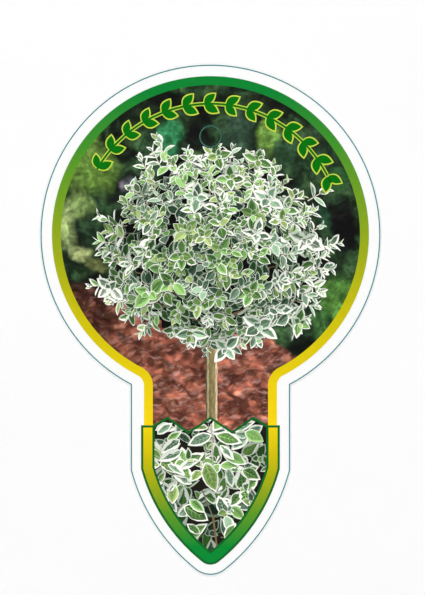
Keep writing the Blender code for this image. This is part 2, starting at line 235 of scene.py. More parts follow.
# Their leaves: length, how slim, how often a tip is fresh, and how often the margin is narrow or wide
CROWN_LEAF = 4.9
CROWN_LEAF_LENGTHS = (0.7, 1.14)
CROWN_LEAF_LOST_AT_TOP = 0.1
CROWN_LEAF_SLIM = (0.48, 0.68)
CROWN_FRESH = (0.0, 0.1, 0.7)
NARROW_MARGIN_CHANCE = 0.8
NARROW_MARGINS = (0.1, 0.23)
WIDE_MARGINS = (0.35, 0.6)
MARGIN_AT_THE_EDGE = 0.1
MARGIN_ON_THE_RIGHT = 0.05

# Shoots all over its front: how far each strays, where it is rooted, how it heads, and its leaf pairs
CROWN_SHOOTS = 164
SHOOT_STRAYS = (0.0, 0.16)
SHOOT_ROOTS = (0.72, 0.84)
SHOOT_LIFT = 0.26
SHOOT_LIFT_AT_TOP = 0.24
SHOOT_LEANS = (0.1, 0.6)
SHOOT_PAIRS = (3, 3, 4)
SHOOT_STEPS = (1.2, 1.8)
# Shoots round its edge, rooted by turns at one depth and at many
RIM_SHOOTS = 62
RIM_STRAY = 0.3
RIM_DEPTHS = (-0.1, 0.3)
RIM_OUTER_ROOT = 0.84
RIM_INNER_ROOTS = (0.66, 0.76)
RIM_TO_FRONT = 0.3
RIM_LEANS = (0.0, 0.5)
RIM_PAIRS = 3
RIM_STEPS = (1.1, 1.6)
# Sprigs that stand out of it: their angle and how far their leaves reach
SPRIGS = (
    (-45, 36.2), (-10, 37.4), (2, 38.8), (28, 40.0), (62, 33.4), (92, 33.0), (118, 39.4), (123, 37.0),
    (131, 36.6), (165, 37.6), (182, 35.6), (198, 40.4), (209, 36.6), (228, 34.6), (274, 31.6), (285, 31.2),
)
SPRIG_PAIRS = 3
SPRIG_STEP = 2.1
SPRIG_LEAF_REACH = 0.55
SPRIG_DEPTH = 0.1
SPRIG_RISE = 0.06
SPRIG_TURNS = (-0.1, 0.2)
SPRIG_GLOW = 1.16
SPRIG_MARGIN = 0.4
# Dim single leaves between the shoots
INNER_LEAVES = 500
INNER_DEPTHS = (-0.1, 1.0)
INNER_ROOTS = (0.58, 0.88)
INNER_RISE = 0.3
INNER_LEAN = 0.5
INNER_KINDS = ("grey_green", "mid_green")
INNER_GLOWS = (0.05, 0.42)
INNER_MARGINS = (0.1, 0.3)
# Rosettes that stand out of the crown: place, leaf length, kind, margin and how often a tip is fresh
CROWN_FEATURES = (
    ((-16.8, 28.4), 4.2, "grey_green", 0.3, 1.0),
    ((-8.0, 19.6), 5.4, "mid_green", 0.16, 0.6),
    ((-1.1, 24.0), 4.4, "fresh_green", 0.2, 0.5),
    ((-10.4, 11.0), 5.8, "mid_green", 0.12, 0.4),
    ((13.1, 24.6), 5.2, "grey_green", 0.5, 0.0),
    ((19.9, 28.4), 4.2, "fresh_green", 0.36, 0.5),
    ((12.1, 30.8), 5.6, "mid_green", 0.12, 0.3),
    ((2.3, 16.8), 4.6, "mid_green", 0.18, 0.4),
    ((12.1, 8.0), 4.6, "mid_green", 0.2, 0.5),
    ((-5.5, -3.0), 5.8, "grey_green", 0.36, 0.9),
    ((14.5, -1.6), 6.6, "grey_green", 0.34, 0.0),
    ((25.4, -0.6), 5.0, "mid_green", 0.26, 0.4),
    ((4.8, -8.0), 5.6, "grey_green", 0.4, 0.0),
    ((27.7, 23.4), 5.8, "cream", 0.5, 0.1),
    ((-29.0, 9.4), 5.4, "cream", 0.4, 0.0),
    ((-3.6, 35.6), 5.4, "grey_green", 0.3, 0.1),
    ((13.6, 46.4), 5.0, "mid_green", 0.26, 0.5),
    ((1.8, 47.4), 5.0, "mid_green", 0.26, 0.6),
    ((-16.8, 8.0), 6.4, "mid_green", 0.08, 0.0),
    ((5.4, 41.0), 5.4, "mid_green", 0.3, 0.4),
    ((17.0, 34.6), 5.4, "grey_green", 0.4, 0.2),
    ((21.6, 31.6), 4.8, "mid_green", 0.3, 0.3),
)
# How near a rosette stands, how it leans out and strays, and how it grows
FEATURE_NEARER = 2.0
FEATURE_LEAST_DEPTH = 0.1
FEATURE_LEAN = 0.5
FEATURE_STRAY = 0.25
FEATURE_SLIM = (0.56, 0.66)
FEATURE_GLOW = 0.96
FEATURE_PAIRS = 3
FEATURE_STEP = 1.2
GOLDEN_ANGLE = math.radians(137.508)
# The dark backing inside the crown, ragged at its edge
BACKING_SIDES = 120
BACKING_EDGE = (0.8, 0.92)
BACKING_DEPTH = -60.0

# The pictured trunk, and how far its sides wobble
TRUNK_LEFT = -1.4
TRUNK_RIGHT = 2.05
TRUNK_TOP = -3.0
TRUNK_FOOT = -29.5
TRUNK_DEPTH = -70.0
TRUNK_STEPS = 22
TRUNK_WOBBLE = 0.12
# Boughs that fan out from its fork: their angles, in degrees, how far and how near they reach
FORK = Vector((0.4, TRUNK_TOP + 1.0, -4.0))
BOUGHS = 9
BOUGH_FIRST = 18.0
BOUGH_APART = 18.0
BOUGH_STRAY = 6.0
BOUGH_REACH = Vector((26.0, 30.0))
BOUGH_NEARNESS = (2.0, 18.0)
# The pieces of a bough: how they wander and arch, how thick they start, how they thin, and their tones
BOUGH_STEPS = 6
BOUGH_WANDER = 0.8
BOUGH_ARCH = 2.5
BOUGH_WIDTH = 1.5
BOUGH_THINS = 0.8
BOUGH_TONES = (0.35, 0.8)

# The garland over the crown: its vine's radius, its ends in degrees, its points, and how deep it is sunk
GARLAND_RADIUS = 38.4
GARLAND_ARC = (150.0, 27.0)
GARLAND_ARC_POINTS = 97
GARLAND_VINE_SUNK = 0.005
# Its pairs of leaves: how they lean from the vine and how that wanders, in degrees, and their sizes
GARLAND_PAIRS = 14
GARLAND_LEAN = 34.0
GARLAND_LEAN_WANDER = 4.0
GARLAND_LEAN_SEED = 9
GARLAND_SIZES = (0.92, 1.06)
GARLAND_SIZE_SEED = 4
# A leaf of it: where it is widest, the steps along its edge, and how near its edges' ends are one
GARLAND_LEAF_BELLY = 0.42
GARLAND_LEAF_STEPS = 8
GARLAND_LEAF_MERGE = 0.001

# Plain inks, as they display
CUT_LINE_COLOUR = (0, 134, 138)
HOLE_LINE_COLOUR = (50, 110, 94)
SHIELD_LINE_COLOUR = (15, 108, 40)
SHIELD_DARK_COLOUR = (30, 28, 20)
GARLAND_EDGE_COLOUR = (215, 235, 80)
GARLAND_FILL_COLOUR = (0, 120, 10)

# The close view on the shield: a bank of shoots, how they head, and their leaf pairs
CLOSE_CENTRE = Vector((0.0, -48.0, 0.0))
CLOSE_REACH = Vector((18.5, 22.0, 6.0))
CLOSE_SHOOTS = 43
CLOSE_RISE = 0.35
CLOSE_LEANS = (0.2, 0.9)
CLOSE_PAIRS = (2, 3, 3, 4)
CLOSE_STEPS = (1.6, 2.6)
# Their leaves: length, how slim, veins, kinds, margins, brightness and how often a tip is fresh
CLOSE_LEAF = 7.4
CLOSE_LEAF_LENGTHS = (0.75, 1.15)
CLOSE_LEAF_SLIM = (0.48, 0.6)
CLOSE_VEINS = 4
CLOSE_KIND_SHARES = (0.42, 0.44, 0.14)
CLOSE_MARGINS = (0.2, 0.5)
CLOSE_GLOWS = (0.76, 1.1)
CLOSE_FRESH = 0.2
# The light in it: at its middle, at its darkest, and the depth and the height that add one to it
CLOSE_LIGHT = 0.32
CLOSE_DARKEST = 0.04
CLOSE_LIGHT_DEPTH = 10.0
CLOSE_LIGHT_HEIGHT = 60.0
# What stands out of it: how near, how its leaves' tips stray, how they face, and their brightness
CLOSE_NEAREST = 12.0
STANDING_NEARER = (0.0, 2.0)
STANDING_TIPS = (-0.8, 0.8)
STANDING_RISE = 0.2
STANDING_STRAY = 0.2
STANDING_GLOW = 0.86
# Leaves that stand out of the close view: root, tip, how slim, kind and margin
CLOSE_FEATURES = (
    ((-1.6, -41.8), (1.7, -50.6), 0.52, "fresh_green", 0.14),
    ((-10.8, -48.0), (-11.2, -54.2), 0.6, "fresh_green", 0.16),
    ((-7.9, -54.6), (-0.5, -58.8), 0.55, "mid_green", 0.16),
    ((-6.2, -52.8), (-1.6, -56.6), 0.56, "mid_green", 0.2),
    ((10.0, -32.8), (15.6, -35.6), 0.62, "mid_green", 0.05),
    ((0.4, -33.8), (-6.8, -36.6), 0.5, "grey_green", 0.22),
    ((1.4, -33.8), (9.4, -35.8), 0.5, "mid_green", 0.26),
    ((-9.0, -35.0), (-14.6, -39.2), 0.5, "grey_green", 0.5),
    ((-8.4, -38.4), (-15.4, -41.4), 0.44, "grey_green", 0.58),
    ((3.6, -39.4), (10.8, -42.2), 0.55, "mid_green", 0.2),
    ((5.2, -43.4), (6.4, -49.4), 0.5, "grey_green", 0.3),
    ((9.2, -44.0), (14.8, -46.8), 0.6, "mid_green", 0.22),
    ((-12.6, -42.4), (-7.2, -45.6), 0.42, "grey_green", 0.55),
    ((5.8, -54.8), (10.0, -58.6), 0.6, "mid_green", 0.14),
    ((-15.6, -33.6), (-11.2, -30.2), 0.5, "grey_green", 0.3),
    ((-12.8, -35.4), (-8.4, -32.6), 0.46, "mid_green", 0.3),
    ((-3.6, -41.0), (-9.8, -43.8), 0.4, "grey_green", 0.6),
    ((-5.4, -48.2), (-11.0, -45.6), 0.4, "grey_green", 0.56),
    ((2.8, -36.8), (7.0, -41.2), 0.46, "grey_green", 0.5),
    ((-9.6, -57.6), (-4.2, -54.0), 0.5, "grey_green", 0.3),
    ((-3.0, -62.8), (-7.0, -59.8), 0.5, "mid_green", 0.24),
    ((4.2, -64.2), (7.4, -59.6), 0.52, "mid_green", 0.3),
)
# Bare stems in the close view: start, end, width, kind and brightness
CLOSE_STEMS = (
    ((0.2, -30.6), (0.7, -41.8), 0.5, "twig", 0.8),
    ((0.7, -57.5), (1.9, -66.5), 0.6, "bough", 1.0),
    ((-2.4, -50.0), (0.6, -57.6), 0.4, "twig", 0.45),
)

# The laminate over the inks: how slowly its gloss wanders and how far, and its fine grain
GLOSS_WAVES = 0.35
GLOSS_DETAIL = 3.0
ROUGHNESS_LEAST = 0.42
ROUGHNESS_WANDER = 0.16
GRAIN_WAVES = 4.0
GRAIN_HEIGHT = 0.02
GRAIN_STRENGTH = 0.12

# How softly the lumps of the garden and the chips of the bark run into one another
CELL_SOFTNESS = 0.85
# The sockets of the Mix node that carry colours. Others on it have the same names
MIX_FIRST = 6
MIX_SECOND = 7
MIX_RESULT = 2
# The output of the Random Value node that is a number. Others on it have the same name
RANDOM_NUMBER = 1


def linear(colour):
    """The scene's value of a colour given as it displays, from 0 to 255."""
    shares = [channel / 255.0 for channel in colour]
    return [s / 12.92 if s <= 0.04045 else ((s + 0.055) / 1.055) ** 2.4 for s in shares]


class Value:
    """A number or a vector that one node gives. Sums on a number add Math nodes."""

    def __init__(self, graph, socket):
        self.graph = graph
        self.socket = socket

    def maths(self, operation, first, second):
        """A Math node on two numbers."""
        return self.graph.node("ShaderNodeMath", {"operation": operation}, {0: first, 1: second})

    def __add__(self, other):
        return self.maths("ADD", self, other)

    def __sub__(self, other):
        return self.maths("SUBTRACT", self, other)

    def __mul__(self, other):
        return self.maths("MULTIPLY", self, other)


class Nodes:
    """A node tree that is being filled."""

    def __init__(self, tree):
        self.tree = tree

    def feed(self, socket, value):
        """Links a value to a socket, or sets the socket to it."""
        if isinstance(value, Value):
            self.tree.links.new(value.socket, socket)
        else:
            socket.default_value = value

    def node(self, kind, settings=None, inputs=None, output=0):
        """Any node: its kind, its settings, what its sockets take, and which output is wanted."""
        made = self.tree.nodes.new(kind)
        for name, setting in (settings or {}).items():
            setattr(made, name, setting)
        for name, value in (inputs or {}).items():
            self.feed(made.inputs[name], value)
        return Value(self, made.outputs[output])


class Graph(Nodes):
    """The nodes of one material."""

    def __init__(self, name, roughness=0.5, specular=0.08):
        self.material = bpy.data.materials.new(name)
        self.material.use_nodes = True
        super().__init__(self.material.node_tree)
        self.shader = self.tree.nodes["Principled BSDF"]
        self.shader.inputs["Roughness"].default_value = roughness
        self.shader.inputs["Specular IOR Level"].default_value = specular

    def place(self):
        """The point on the object, in millimetres."""
        return self.scaled(self.node("ShaderNodeTexCoord", output="Object"), 1.0 / MM)

    def vector(self, operation, first, second=(0.0, 0.0, 0.0), output=0):
        """A Vector Math node."""
        return self.node("ShaderNodeVectorMath", {"operation": operation}, {0: first, 1: second}, output)

    def scaled(self, vector, factor):
        """A vector or a colour times a number."""
        return self.node("ShaderNodeVectorMath", {"operation": "SCALE"}, {0: vector, "Scale": factor})

    def part(self, vector, axis):
        """One coordinate of a vector: 0, 1 or 2."""
        return self.node("ShaderNodeSeparateXYZ", None, {0: vector}, axis)

    def noise(self, place, scale, detail=2.0, roughness=0.5, output=0):
        """Soft noise, with so many waves to a millimetre."""
        inputs = {"Vector": place, "Scale": scale, "Detail": detail, "Roughness": roughness}
        return self.node("ShaderNodeTexNoise", None, inputs, output)

    def warped(self, place, scale, reach, detail=2.0):
        """A place pushed about by noise."""
        push = self.vector("SUBTRACT", self.noise(place, scale, detail, output="Color"), (0.5, 0.5, 0.5))
        return self.vector("ADD", place, self.scaled(push, reach))

    def mapped(self, place, scale, turn=0.0):
        """A place turned, then stretched, so that a pattern's grain runs at that angle."""
        inputs = {"Vector": place, "Rotation": (0.0, 0.0, turn), "Scale": [1.0 / share for share in scale]}
        return self.node("ShaderNodeMapping", {"vector_type": "TEXTURE"}, inputs)

    def cells(self, place):
        """Scattered cells with soft edges: two random numbers for each, and how far its middle is."""
        inputs = {"Vector": place, "Scale": 1.0, "Smoothness": CELL_SOFTNESS}
        tint = self.node("ShaderNodeTexVoronoi", {"feature": "SMOOTH_F1"}, inputs, "Color")
        away = Value(self, tint.socket.node.outputs["Distance"])
        return self.part(tint, 0), self.part(tint, 1), away

    def range(self, value, start, end, low=0.0, high=1.0):
        """A number that goes smoothly from low to high as the value goes from start to end."""
        inputs = {"Value": value, "From Min": start, "From Max": end, "To Min": low, "To Max": high}
        return self.node("ShaderNodeMapRange", {"interpolation_type": "SMOOTHSTEP"}, inputs)

    def drift(self, place, scale, detail, *ends):
        """A number that drifts with soft noise. The ends are what range takes after its value."""
        return self.range(self.noise(place, scale, detail), *ends)

    def blend(self, factor, first, second):
        """A colour between two colours."""
        inputs = {0: factor, MIX_FIRST: first, MIX_SECOND: second}
        return self.node("ShaderNodeMix", {"data_type": "RGBA"}, inputs, MIX_RESULT)

    def ink(self, colour):
        """A plain colour, given as it displays."""
        return (*linear(colour), 1.0)

    def clouded(self, tones, scale, detail=2.0):
        """A colour that drifts between two displayed tones."""
        cloud = self.noise(self.place(), scale, detail)
        return self.blend(cloud, self.ink(tones[0]), self.ink(tones[1]))

    def ramp(self, value, stops):
        """A colour picked along stops, each a place and a displayed colour."""
        picked = self.node("ShaderNodeValToRGB", None, {0: value})
        elements = picked.socket.node.color_ramp.elements
        while len(elements) < len(stops):
            elements.new(1.0)
        for element, (place, colour) in zip(elements, stops):
            element.position = place
            element.color = self.ink(colour)
        return picked

    def finish(self, colour, grain=0.3):
        """Ends the material: its colour, a mottled gloss and the fine grain of the laminate."""
        place = self.place()
        mottle = self.noise(place, GLOSS_WAVES, GLOSS_DETAIL)
        self.feed(self.shader.inputs["Base Color"], colour)
        self.feed(self.shader.inputs["Roughness"], mottle * ROUGHNESS_WANDER + ROUGHNESS_LEAST)
        bump = self.node("ShaderNodeBump", None, {
            "Strength": GRAIN_STRENGTH,
            "Distance": GRAIN_HEIGHT * MM,
            "Height": self.noise(place, GRAIN_WAVES) * grain,
        })
        self.feed(self.shader.inputs["Normal"], bump)
        return self.material


class GeometryNodes(Nodes):
    """The nodes of a geometry tree."""

    def point(self, x, y, z=0.0):
        """A vector from three numbers."""
        return self.node("ShaderNodeCombineXYZ", None, {0: x, 1: y, 2: z})

    def chance(self, low, high, seed):
        """A random number for each point."""
        inputs = {"Min": low, "Max": high, "Seed": seed}
        return self.node("FunctionNodeRandomValue", {"data_type": "FLOAT"}, inputs, RANDOM_NUMBER)


# The whites of the plastic, how slowly they drift, and its grain
PLASTIC_WHITES = ((249, 250, 249), (253, 253, 252))
PLASTIC_WAVES = 0.06
PLASTIC_GRAIN = 0.6

# The faint unevenness of print: how slowly it drifts, and how far it darkens a plain ink and a band
PRINT_WAVES = 0.5
PRINT_DETAIL = 3.0
PLAIN_INK_DARKER = 0.88
BAND_LEAST = 0.95
BAND_WANDER = 0.1

# The printed band from the foot of the neck to the top of the head, and the shield's from tip to top
HEAD_BAND_STOPS = (
    (0.0, (250, 216, 14)), (0.12, (236, 208, 10)), (0.32, (202, 192, 10)), (0.48, (160, 174, 22)),
    (0.64, (118, 160, 34)), (0.8, (66, 146, 42)), (0.95, (8, 132, 50)),
)
SHIELD_BAND_STOPS = (
    (0.0, (4, 138, 54)), (0.12, (6, 138, 50)), (0.36, (92, 152, 38)), (0.62, (168, 174, 16)),
    (0.82, (214, 194, 8)), (1.0, (240, 212, 10)),
)

# The blurred garden's own greens along a noise, and the scale, reach and detail of what pushes it about
GARDEN_STOPS = ((0.3, (12, 16, 12)), (0.44, (26, 40, 26)), (0.54, (42, 66, 42)), (0.68, (66, 98, 58)))
GARDEN_WAVES = 0.14
GARDEN_DETAIL = 3.0
GARDEN_WARPS = ((0.16, 6.0, 1.0), (0.4, 1.6, 0.5))
# Its lumps, packed so many to a millimetre and turned, and the light across them and on their edges
LUMP_GRAIN = ((0.42, 0.5, 0.01), 0.5)
LUMP_LIGHT = (0.2, 0.8, 0.8, 1.2)
LUMP_EDGE_LIGHT = (0.1, 0.7, 1.14, 0.76)
# Its speckle, which follows the lumps a little, and its mottle: noise first, then start, end, low, high
SPECKLE_NOISE = (0.4, 1.5)
SPECKLE_BY_LUMP = 0.08
SPECKLE_LIGHT = (0.34, 0.7, 0.76, 1.36)
GARDEN_MOTTLE = (0.95, 1.5, 0.32, 0.68, 0.76, 1.28)
# Where a soft shape starts to show and where it is full, as shares of its reach
PATCH_FADE = (1.15, 0.45)
# Soft shapes in the garden: where they lie, how far they reach, colour and strength
GARDEN_PATCHES = (
    ((-31.0, 62.0), (13.0, 7.0), (12, 10, 8), 0.9),
    ((-9.0, 64.0), (15.0, 4.5), (14, 14, 12), 0.85),
    ((-39.0, 50.0), (6.5, 14.0), (110, 142, 64), 0.95),
    ((-33.0, 44.0), (7.0, 8.0), (102, 138, 58), 0.95),
    ((-38.5, 33.5), (5.0, 5.0), (128, 156, 88), 0.95),
    ((-42.5, 27.5), (3.6, 7.5), (158, 178, 112), 0.95),
    ((-38.5, 19.8), (3.4, 2.8), (152, 164, 108), 0.9),
    ((-34.0, 17.0), (3.4, 3.0), (104, 112, 66), 0.8),
    ((-29.5, 23.5), (5.0, 3.5), (30, 84, 56), 0.85),
    ((-24.6, 39.3), (2.0, 2.6), (118, 112, 124), 0.85),
    ((-27.5, 36.0), (3.5, 2.5), (16, 16, 16), 0.8),
    ((-24.5, 49.5), (4.5, 4.0), (14, 16, 12), 0.8),
    ((-31.5, 24.5), (3.2, 3.2), (26, 30, 20), 0.7),
    ((-33.5, 11.8), (5.5, 3.2), (16, 12, 12), 0.95),
    ((-12.0, 52.5), (4.5, 7.0), (52, 132, 82), 0.95),
    ((-4.0, 53.0), (4.0, 6.0), (16, 16, 16), 0.85),
    ((8.0, 55.5), (6.0, 6.5), (56, 82, 64), 0.8),
    ((17.0, 53.5), (3.8, 6.5), (112, 152, 68), 0.9),
    ((22.5, 50.5), (5.0, 6.0), (54, 90, 60), 0.75),
    ((30.5, 46.0), (5.0, 5.5), (46, 80, 52), 0.7),
    ((31.5, 54.5), (5.0, 4.0), (60, 80, 58), 0.6),
    ((17.0, 64.5), (8.0, 3.0), (20, 20, 16), 0.85),
    ((37.0, 40.5), (4.0, 3.5), (44, 92, 48), 0.7),
    ((39.5, 27.5), (4.6, 10.5), (16, 14, 16), 0.95),
    ((33.5, 30.0), (3.0, 4.5), (40, 80, 56), 0.8),
    ((38.0, 5.5), (6.5, 9.0), (84, 132, 58), 1.0),
    ((32.5, -2.5), (4.5, 7.0), (66, 110, 56), 0.9),
    ((27.6, -9.0), (6.5, 3.0), (12, 18, 12), 0.95),
    ((36.5, -0.5), (4.0, 2.0), (30, 64, 34), 0.7),
    ((33.0, -12.6), (3.4, 1.4), (96, 124, 74), 0.8),
)

# The bark chips' own colours along a random number, half blended into one, and what pushes them about
BARK_STOPS = (
    (0.0, (70, 36, 32)), (0.2, (118, 62, 50)), (0.4, (158, 88, 66)), (0.6, (182, 104, 78)),
    (0.75, (206, 140, 108)), (0.88, (150, 120, 120)), (1.0, (186, 96, 62)),
)
BARK_COLOUR = (148, 88, 72)
BARK_COLOUR_SHARE = 0.5
BARK_WARP = (0.3, 2.2)
# The two ways that chips lie, packed so many to a millimetre and turned, and the noise that chooses
RISING_CHIPS = ((0.28, 0.66, 0.01), 0.4)
FALLING_CHIPS = ((0.24, 0.58, 0.01), -0.5)
CHIPS_CHOICE = (0.22, 2.0, 0.42, 0.58)
# The light on chips and their edges, and the glints on them
CHIP_LIGHT = (0.25, 0.75, 0.56, 1.5)
CHIP_EDGE_LIGHT = (0.1, 0.6, 1.2, 0.66)
GLINT_COLOUR = (192, 146, 134)
GLINT_GRAIN = ((0.4, 1.1, 1.0), 0.2)
GLINT_NOISE = (1.0, 1.5, 0.5, 0.74)
GLINT_STRENGTH = 0.6
# The bark's soft blur and wide tide of light, and its shade on the left and on the right
BARK_BLUR = (0.42, 1.6, 0.3, 0.7, 0.7, 1.36)
BARK_TIDE = (0.13, 3.0, 0.3, 0.7, 0.76, 1.26)
BARK_SHADE_LEFT = (-40.0, -9.0, 0.24, 1.06)
BARK_SHADE_RIGHT = (9.0, 24.0, 1.0, 0.72)

# The soft line where the bark meets the garden, from left to right. Over its bend it drops
GROUND_LINE_LEFT = Vector((-41.8, 11.4))
GROUND_LINE_RIGHT = Vector((29.4, -7.6))
GROUND_LINE_BEND = (14.0, 27.0)
GROUND_LINE_DROP = 5.0
GROUND_LINE_WARP = (0.3, 3.0)
GROUND_LINE_SOFT = 1.0

# The trunk's colours from left to right, and its streaks and flecks
TRUNK_STOPS = (
    (0.0, (78, 66, 44)), (0.1, (122, 108, 72)), (0.2, (196, 186, 150)), (0.3, (128, 116, 74)),
    (0.55, (146, 132, 86)), (0.78, (164, 146, 104)), (0.88, (232, 212, 172)), (1.0, (226, 206, 166)),
)
TRUNK_WARP = (0.5, 0.4)
STREAK_GRAIN = (2.6, 0.35, 1.0)
STREAK_NOISE = (1.0, 4.0, 0.65)
STREAK_LIGHT = (0.3, 0.68, 0.6, 1.22)
FLECK_GRAIN = (2.0, 1.6, 1.0)
FLECK_LIGHT = (1.0, 2.0, 0.25, 0.6, 0.8, 1.06)


def white_plastic():
    """Bright white plastic, very faintly uneven."""
    graph = Graph("white_plastic")
    return graph.finish(graph.clouded(PLASTIC_WHITES, PLASTIC_WAVES), PLASTIC_GRAIN)


def plain_ink(name, colour):
    """An ink of one colour with the faint unevenness of print."""
    graph = Graph(name)
    darker = [channel * PLAIN_INK_DARKER for channel in colour]
    return graph.finish(graph.clouded((darker, colour), PRINT_WAVES, PRINT_DETAIL))


def band_ink(name, stops, node):
    """An ink that changes colour up the label, from the lowest point of a node to its highest."""
    graph = Graph(name)
    low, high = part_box(node)
    height = graph.part(graph.place(), 1)
    along = (height - low.y / MM) * (MM / (high.y - low.y))
    cloud = graph.noise(graph.place(), PRINT_WAVES, PRINT_DETAIL)
    return graph.finish(graph.scaled(graph.ramp(along, stops), cloud * BAND_WANDER + BAND_LEAST))


def garden_colour(graph, place):
    """A garden out of focus: dark greens with soft lighter and darker shapes."""
    moved = place
    for scale, reach, detail in GARDEN_WARPS:
        moved = graph.warped(moved, scale, reach, detail)
    colour = graph.ramp(graph.noise(moved, GARDEN_WAVES, GARDEN_DETAIL), GARDEN_STOPS)
    for centre, reach, patch, strength in GARDEN_PATCHES:
        away = graph.vector("SUBTRACT", moved, (*centre, 0.0))
        away = graph.vector("MULTIPLY", away, (1.0 / reach[0], 1.0 / reach[1], 0.0))
        away = graph.vector("LENGTH", away, output="Value")
        colour = graph.blend(graph.range(away, *PATCH_FADE, 0.0, strength), colour, graph.ink(patch))
    lump, tone, away = graph.cells(graph.mapped(moved, *LUMP_GRAIN))
    lumps = graph.range(lump, *LUMP_LIGHT) * graph.range(away, *LUMP_EDGE_LIGHT)
    speckle = graph.noise(moved, *SPECKLE_NOISE) + tone * SPECKLE_BY_LUMP
    mottle = graph.drift(place, *GARDEN_MOTTLE)
    return graph.scaled(colour, lumps * graph.range(speckle, *SPECKLE_LIGHT) * mottle)


def bark_colour(graph, place):
    """Red-brown bark chips, lying mostly level, a little out of focus."""
    moved = graph.warped(place, *BARK_WARP)
    rising = graph.cells(graph.mapped(moved, *RISING_CHIPS))
    falling = graph.cells(graph.mapped(moved, *FALLING_CHIPS))
    which = graph.drift(place, *CHIPS_CHOICE)
    hue, tone, away = (one + (other - one) * which for one, other in zip(rising, falling))
    colour = graph.blend(BARK_COLOUR_SHARE, graph.ramp(hue, BARK_STOPS), graph.ink(BARK_COLOUR))
    light = graph.range(tone, *CHIP_LIGHT) * graph.range(away, *CHIP_EDGE_LIGHT)
    glint = graph.drift(graph.mapped(moved, *GLINT_GRAIN), *GLINT_NOISE) * GLINT_STRENGTH
    colour = graph.blend(glint, graph.scaled(colour, light), graph.ink(GLINT_COLOUR))
    soft = graph.drift(moved, *BARK_BLUR)
    tide = graph.drift(place, *BARK_TIDE)
    across = graph.part(moved, 0)
    shade = graph.range(across, *BARK_SHADE_LEFT) * graph.range(across, *BARK_SHADE_RIGHT)
    return graph.scaled(colour, soft * tide * shade)


def ground_ink(name):
    """The whole background of the picture: the garden, and the bark ground below a soft line."""
    graph = Graph(name)
    place = graph.place()
    run = GROUND_LINE_RIGHT - GROUND_LINE_LEFT
    slope = run.y / run.x
    moved = graph.warped(place, *GROUND_LINE_WARP)
    line = graph.part(moved, 0) * slope + (GROUND_LINE_LEFT.y - slope * GROUND_LINE_LEFT.x)
    drop = graph.range(graph.part(moved, 0), *GROUND_LINE_BEND, 0.0, GROUND_LINE_DROP)
    over = graph.part(moved, 1) - line + drop
    side = graph.range(over, -GROUND_LINE_SOFT, GROUND_LINE_SOFT)
    return graph.finish(graph.blend(side, bark_colour(graph, place), garden_colour(graph, place)))


def trunk_ink():
    """Olive-grey bark with streaks down it, lit from the right."""
    graph = Graph("trunk_ink")
    place = graph.warped(graph.place(), *TRUNK_WARP)
    across = (graph.part(place, 0) - TRUNK_LEFT) * (1.0 / (TRUNK_RIGHT - TRUNK_LEFT))
    streak = graph.noise(graph.mapped(place, STREAK_GRAIN), *STREAK_NOISE)
    fleck = graph.drift(graph.mapped(place, FLECK_GRAIN), *FLECK_LIGHT)
    dark = graph.range(streak, *STREAK_LIGHT) * fleck
    return graph.finish(graph.scaled(graph.ramp(across, TRUNK_STOPS), dark))


def tone_inks(kind):
    """The inks of one thing in the picture, from its darkest tone to its lightest."""
    dark, light, steps = TONES[kind]
    inks = []
    for step in range(steps):
        share = step / max(steps - 1, 1)
        graph = Graph(f"{kind}_{step + 1}_ink")
        colour = [low + (high - low) * share for low, high in zip(dark, light)]
        graph.shader.inputs["Base Color"].default_value = graph.ink(colour)
        inks.append(graph.material)
    return inks


class Card(NamedTuple):
    """Something in the picture: how near it is, its outline, its facets from far to near, its shade."""

    depth: float
    outline: list
    facets: list
    shade: float = 0.0


def lit(normal):
    """How bright a facet is: lit from above, with some light passing through the leaf."""
    if normal.z >= 0.0:
        return SHADOW_SHARE + (1.0 - SHADOW_SHARE) * max(0.0, normal.dot(LIGHT))
    through = THROUGH_LIGHT + THROUGH_LIGHT_GAIN * max(0.0, -normal.dot(LIGHT))
    return SHADOW_SHARE + (1.0 - SHADOW_SHARE) * through


def leaf_half(share):
    """Half a leaf's width at a place along it."""
    places, halves = zip((0.0, 0.0), *LEAF_PROFILE, (1.0, 0.0))
    return float(np.interp(share, places, halves))


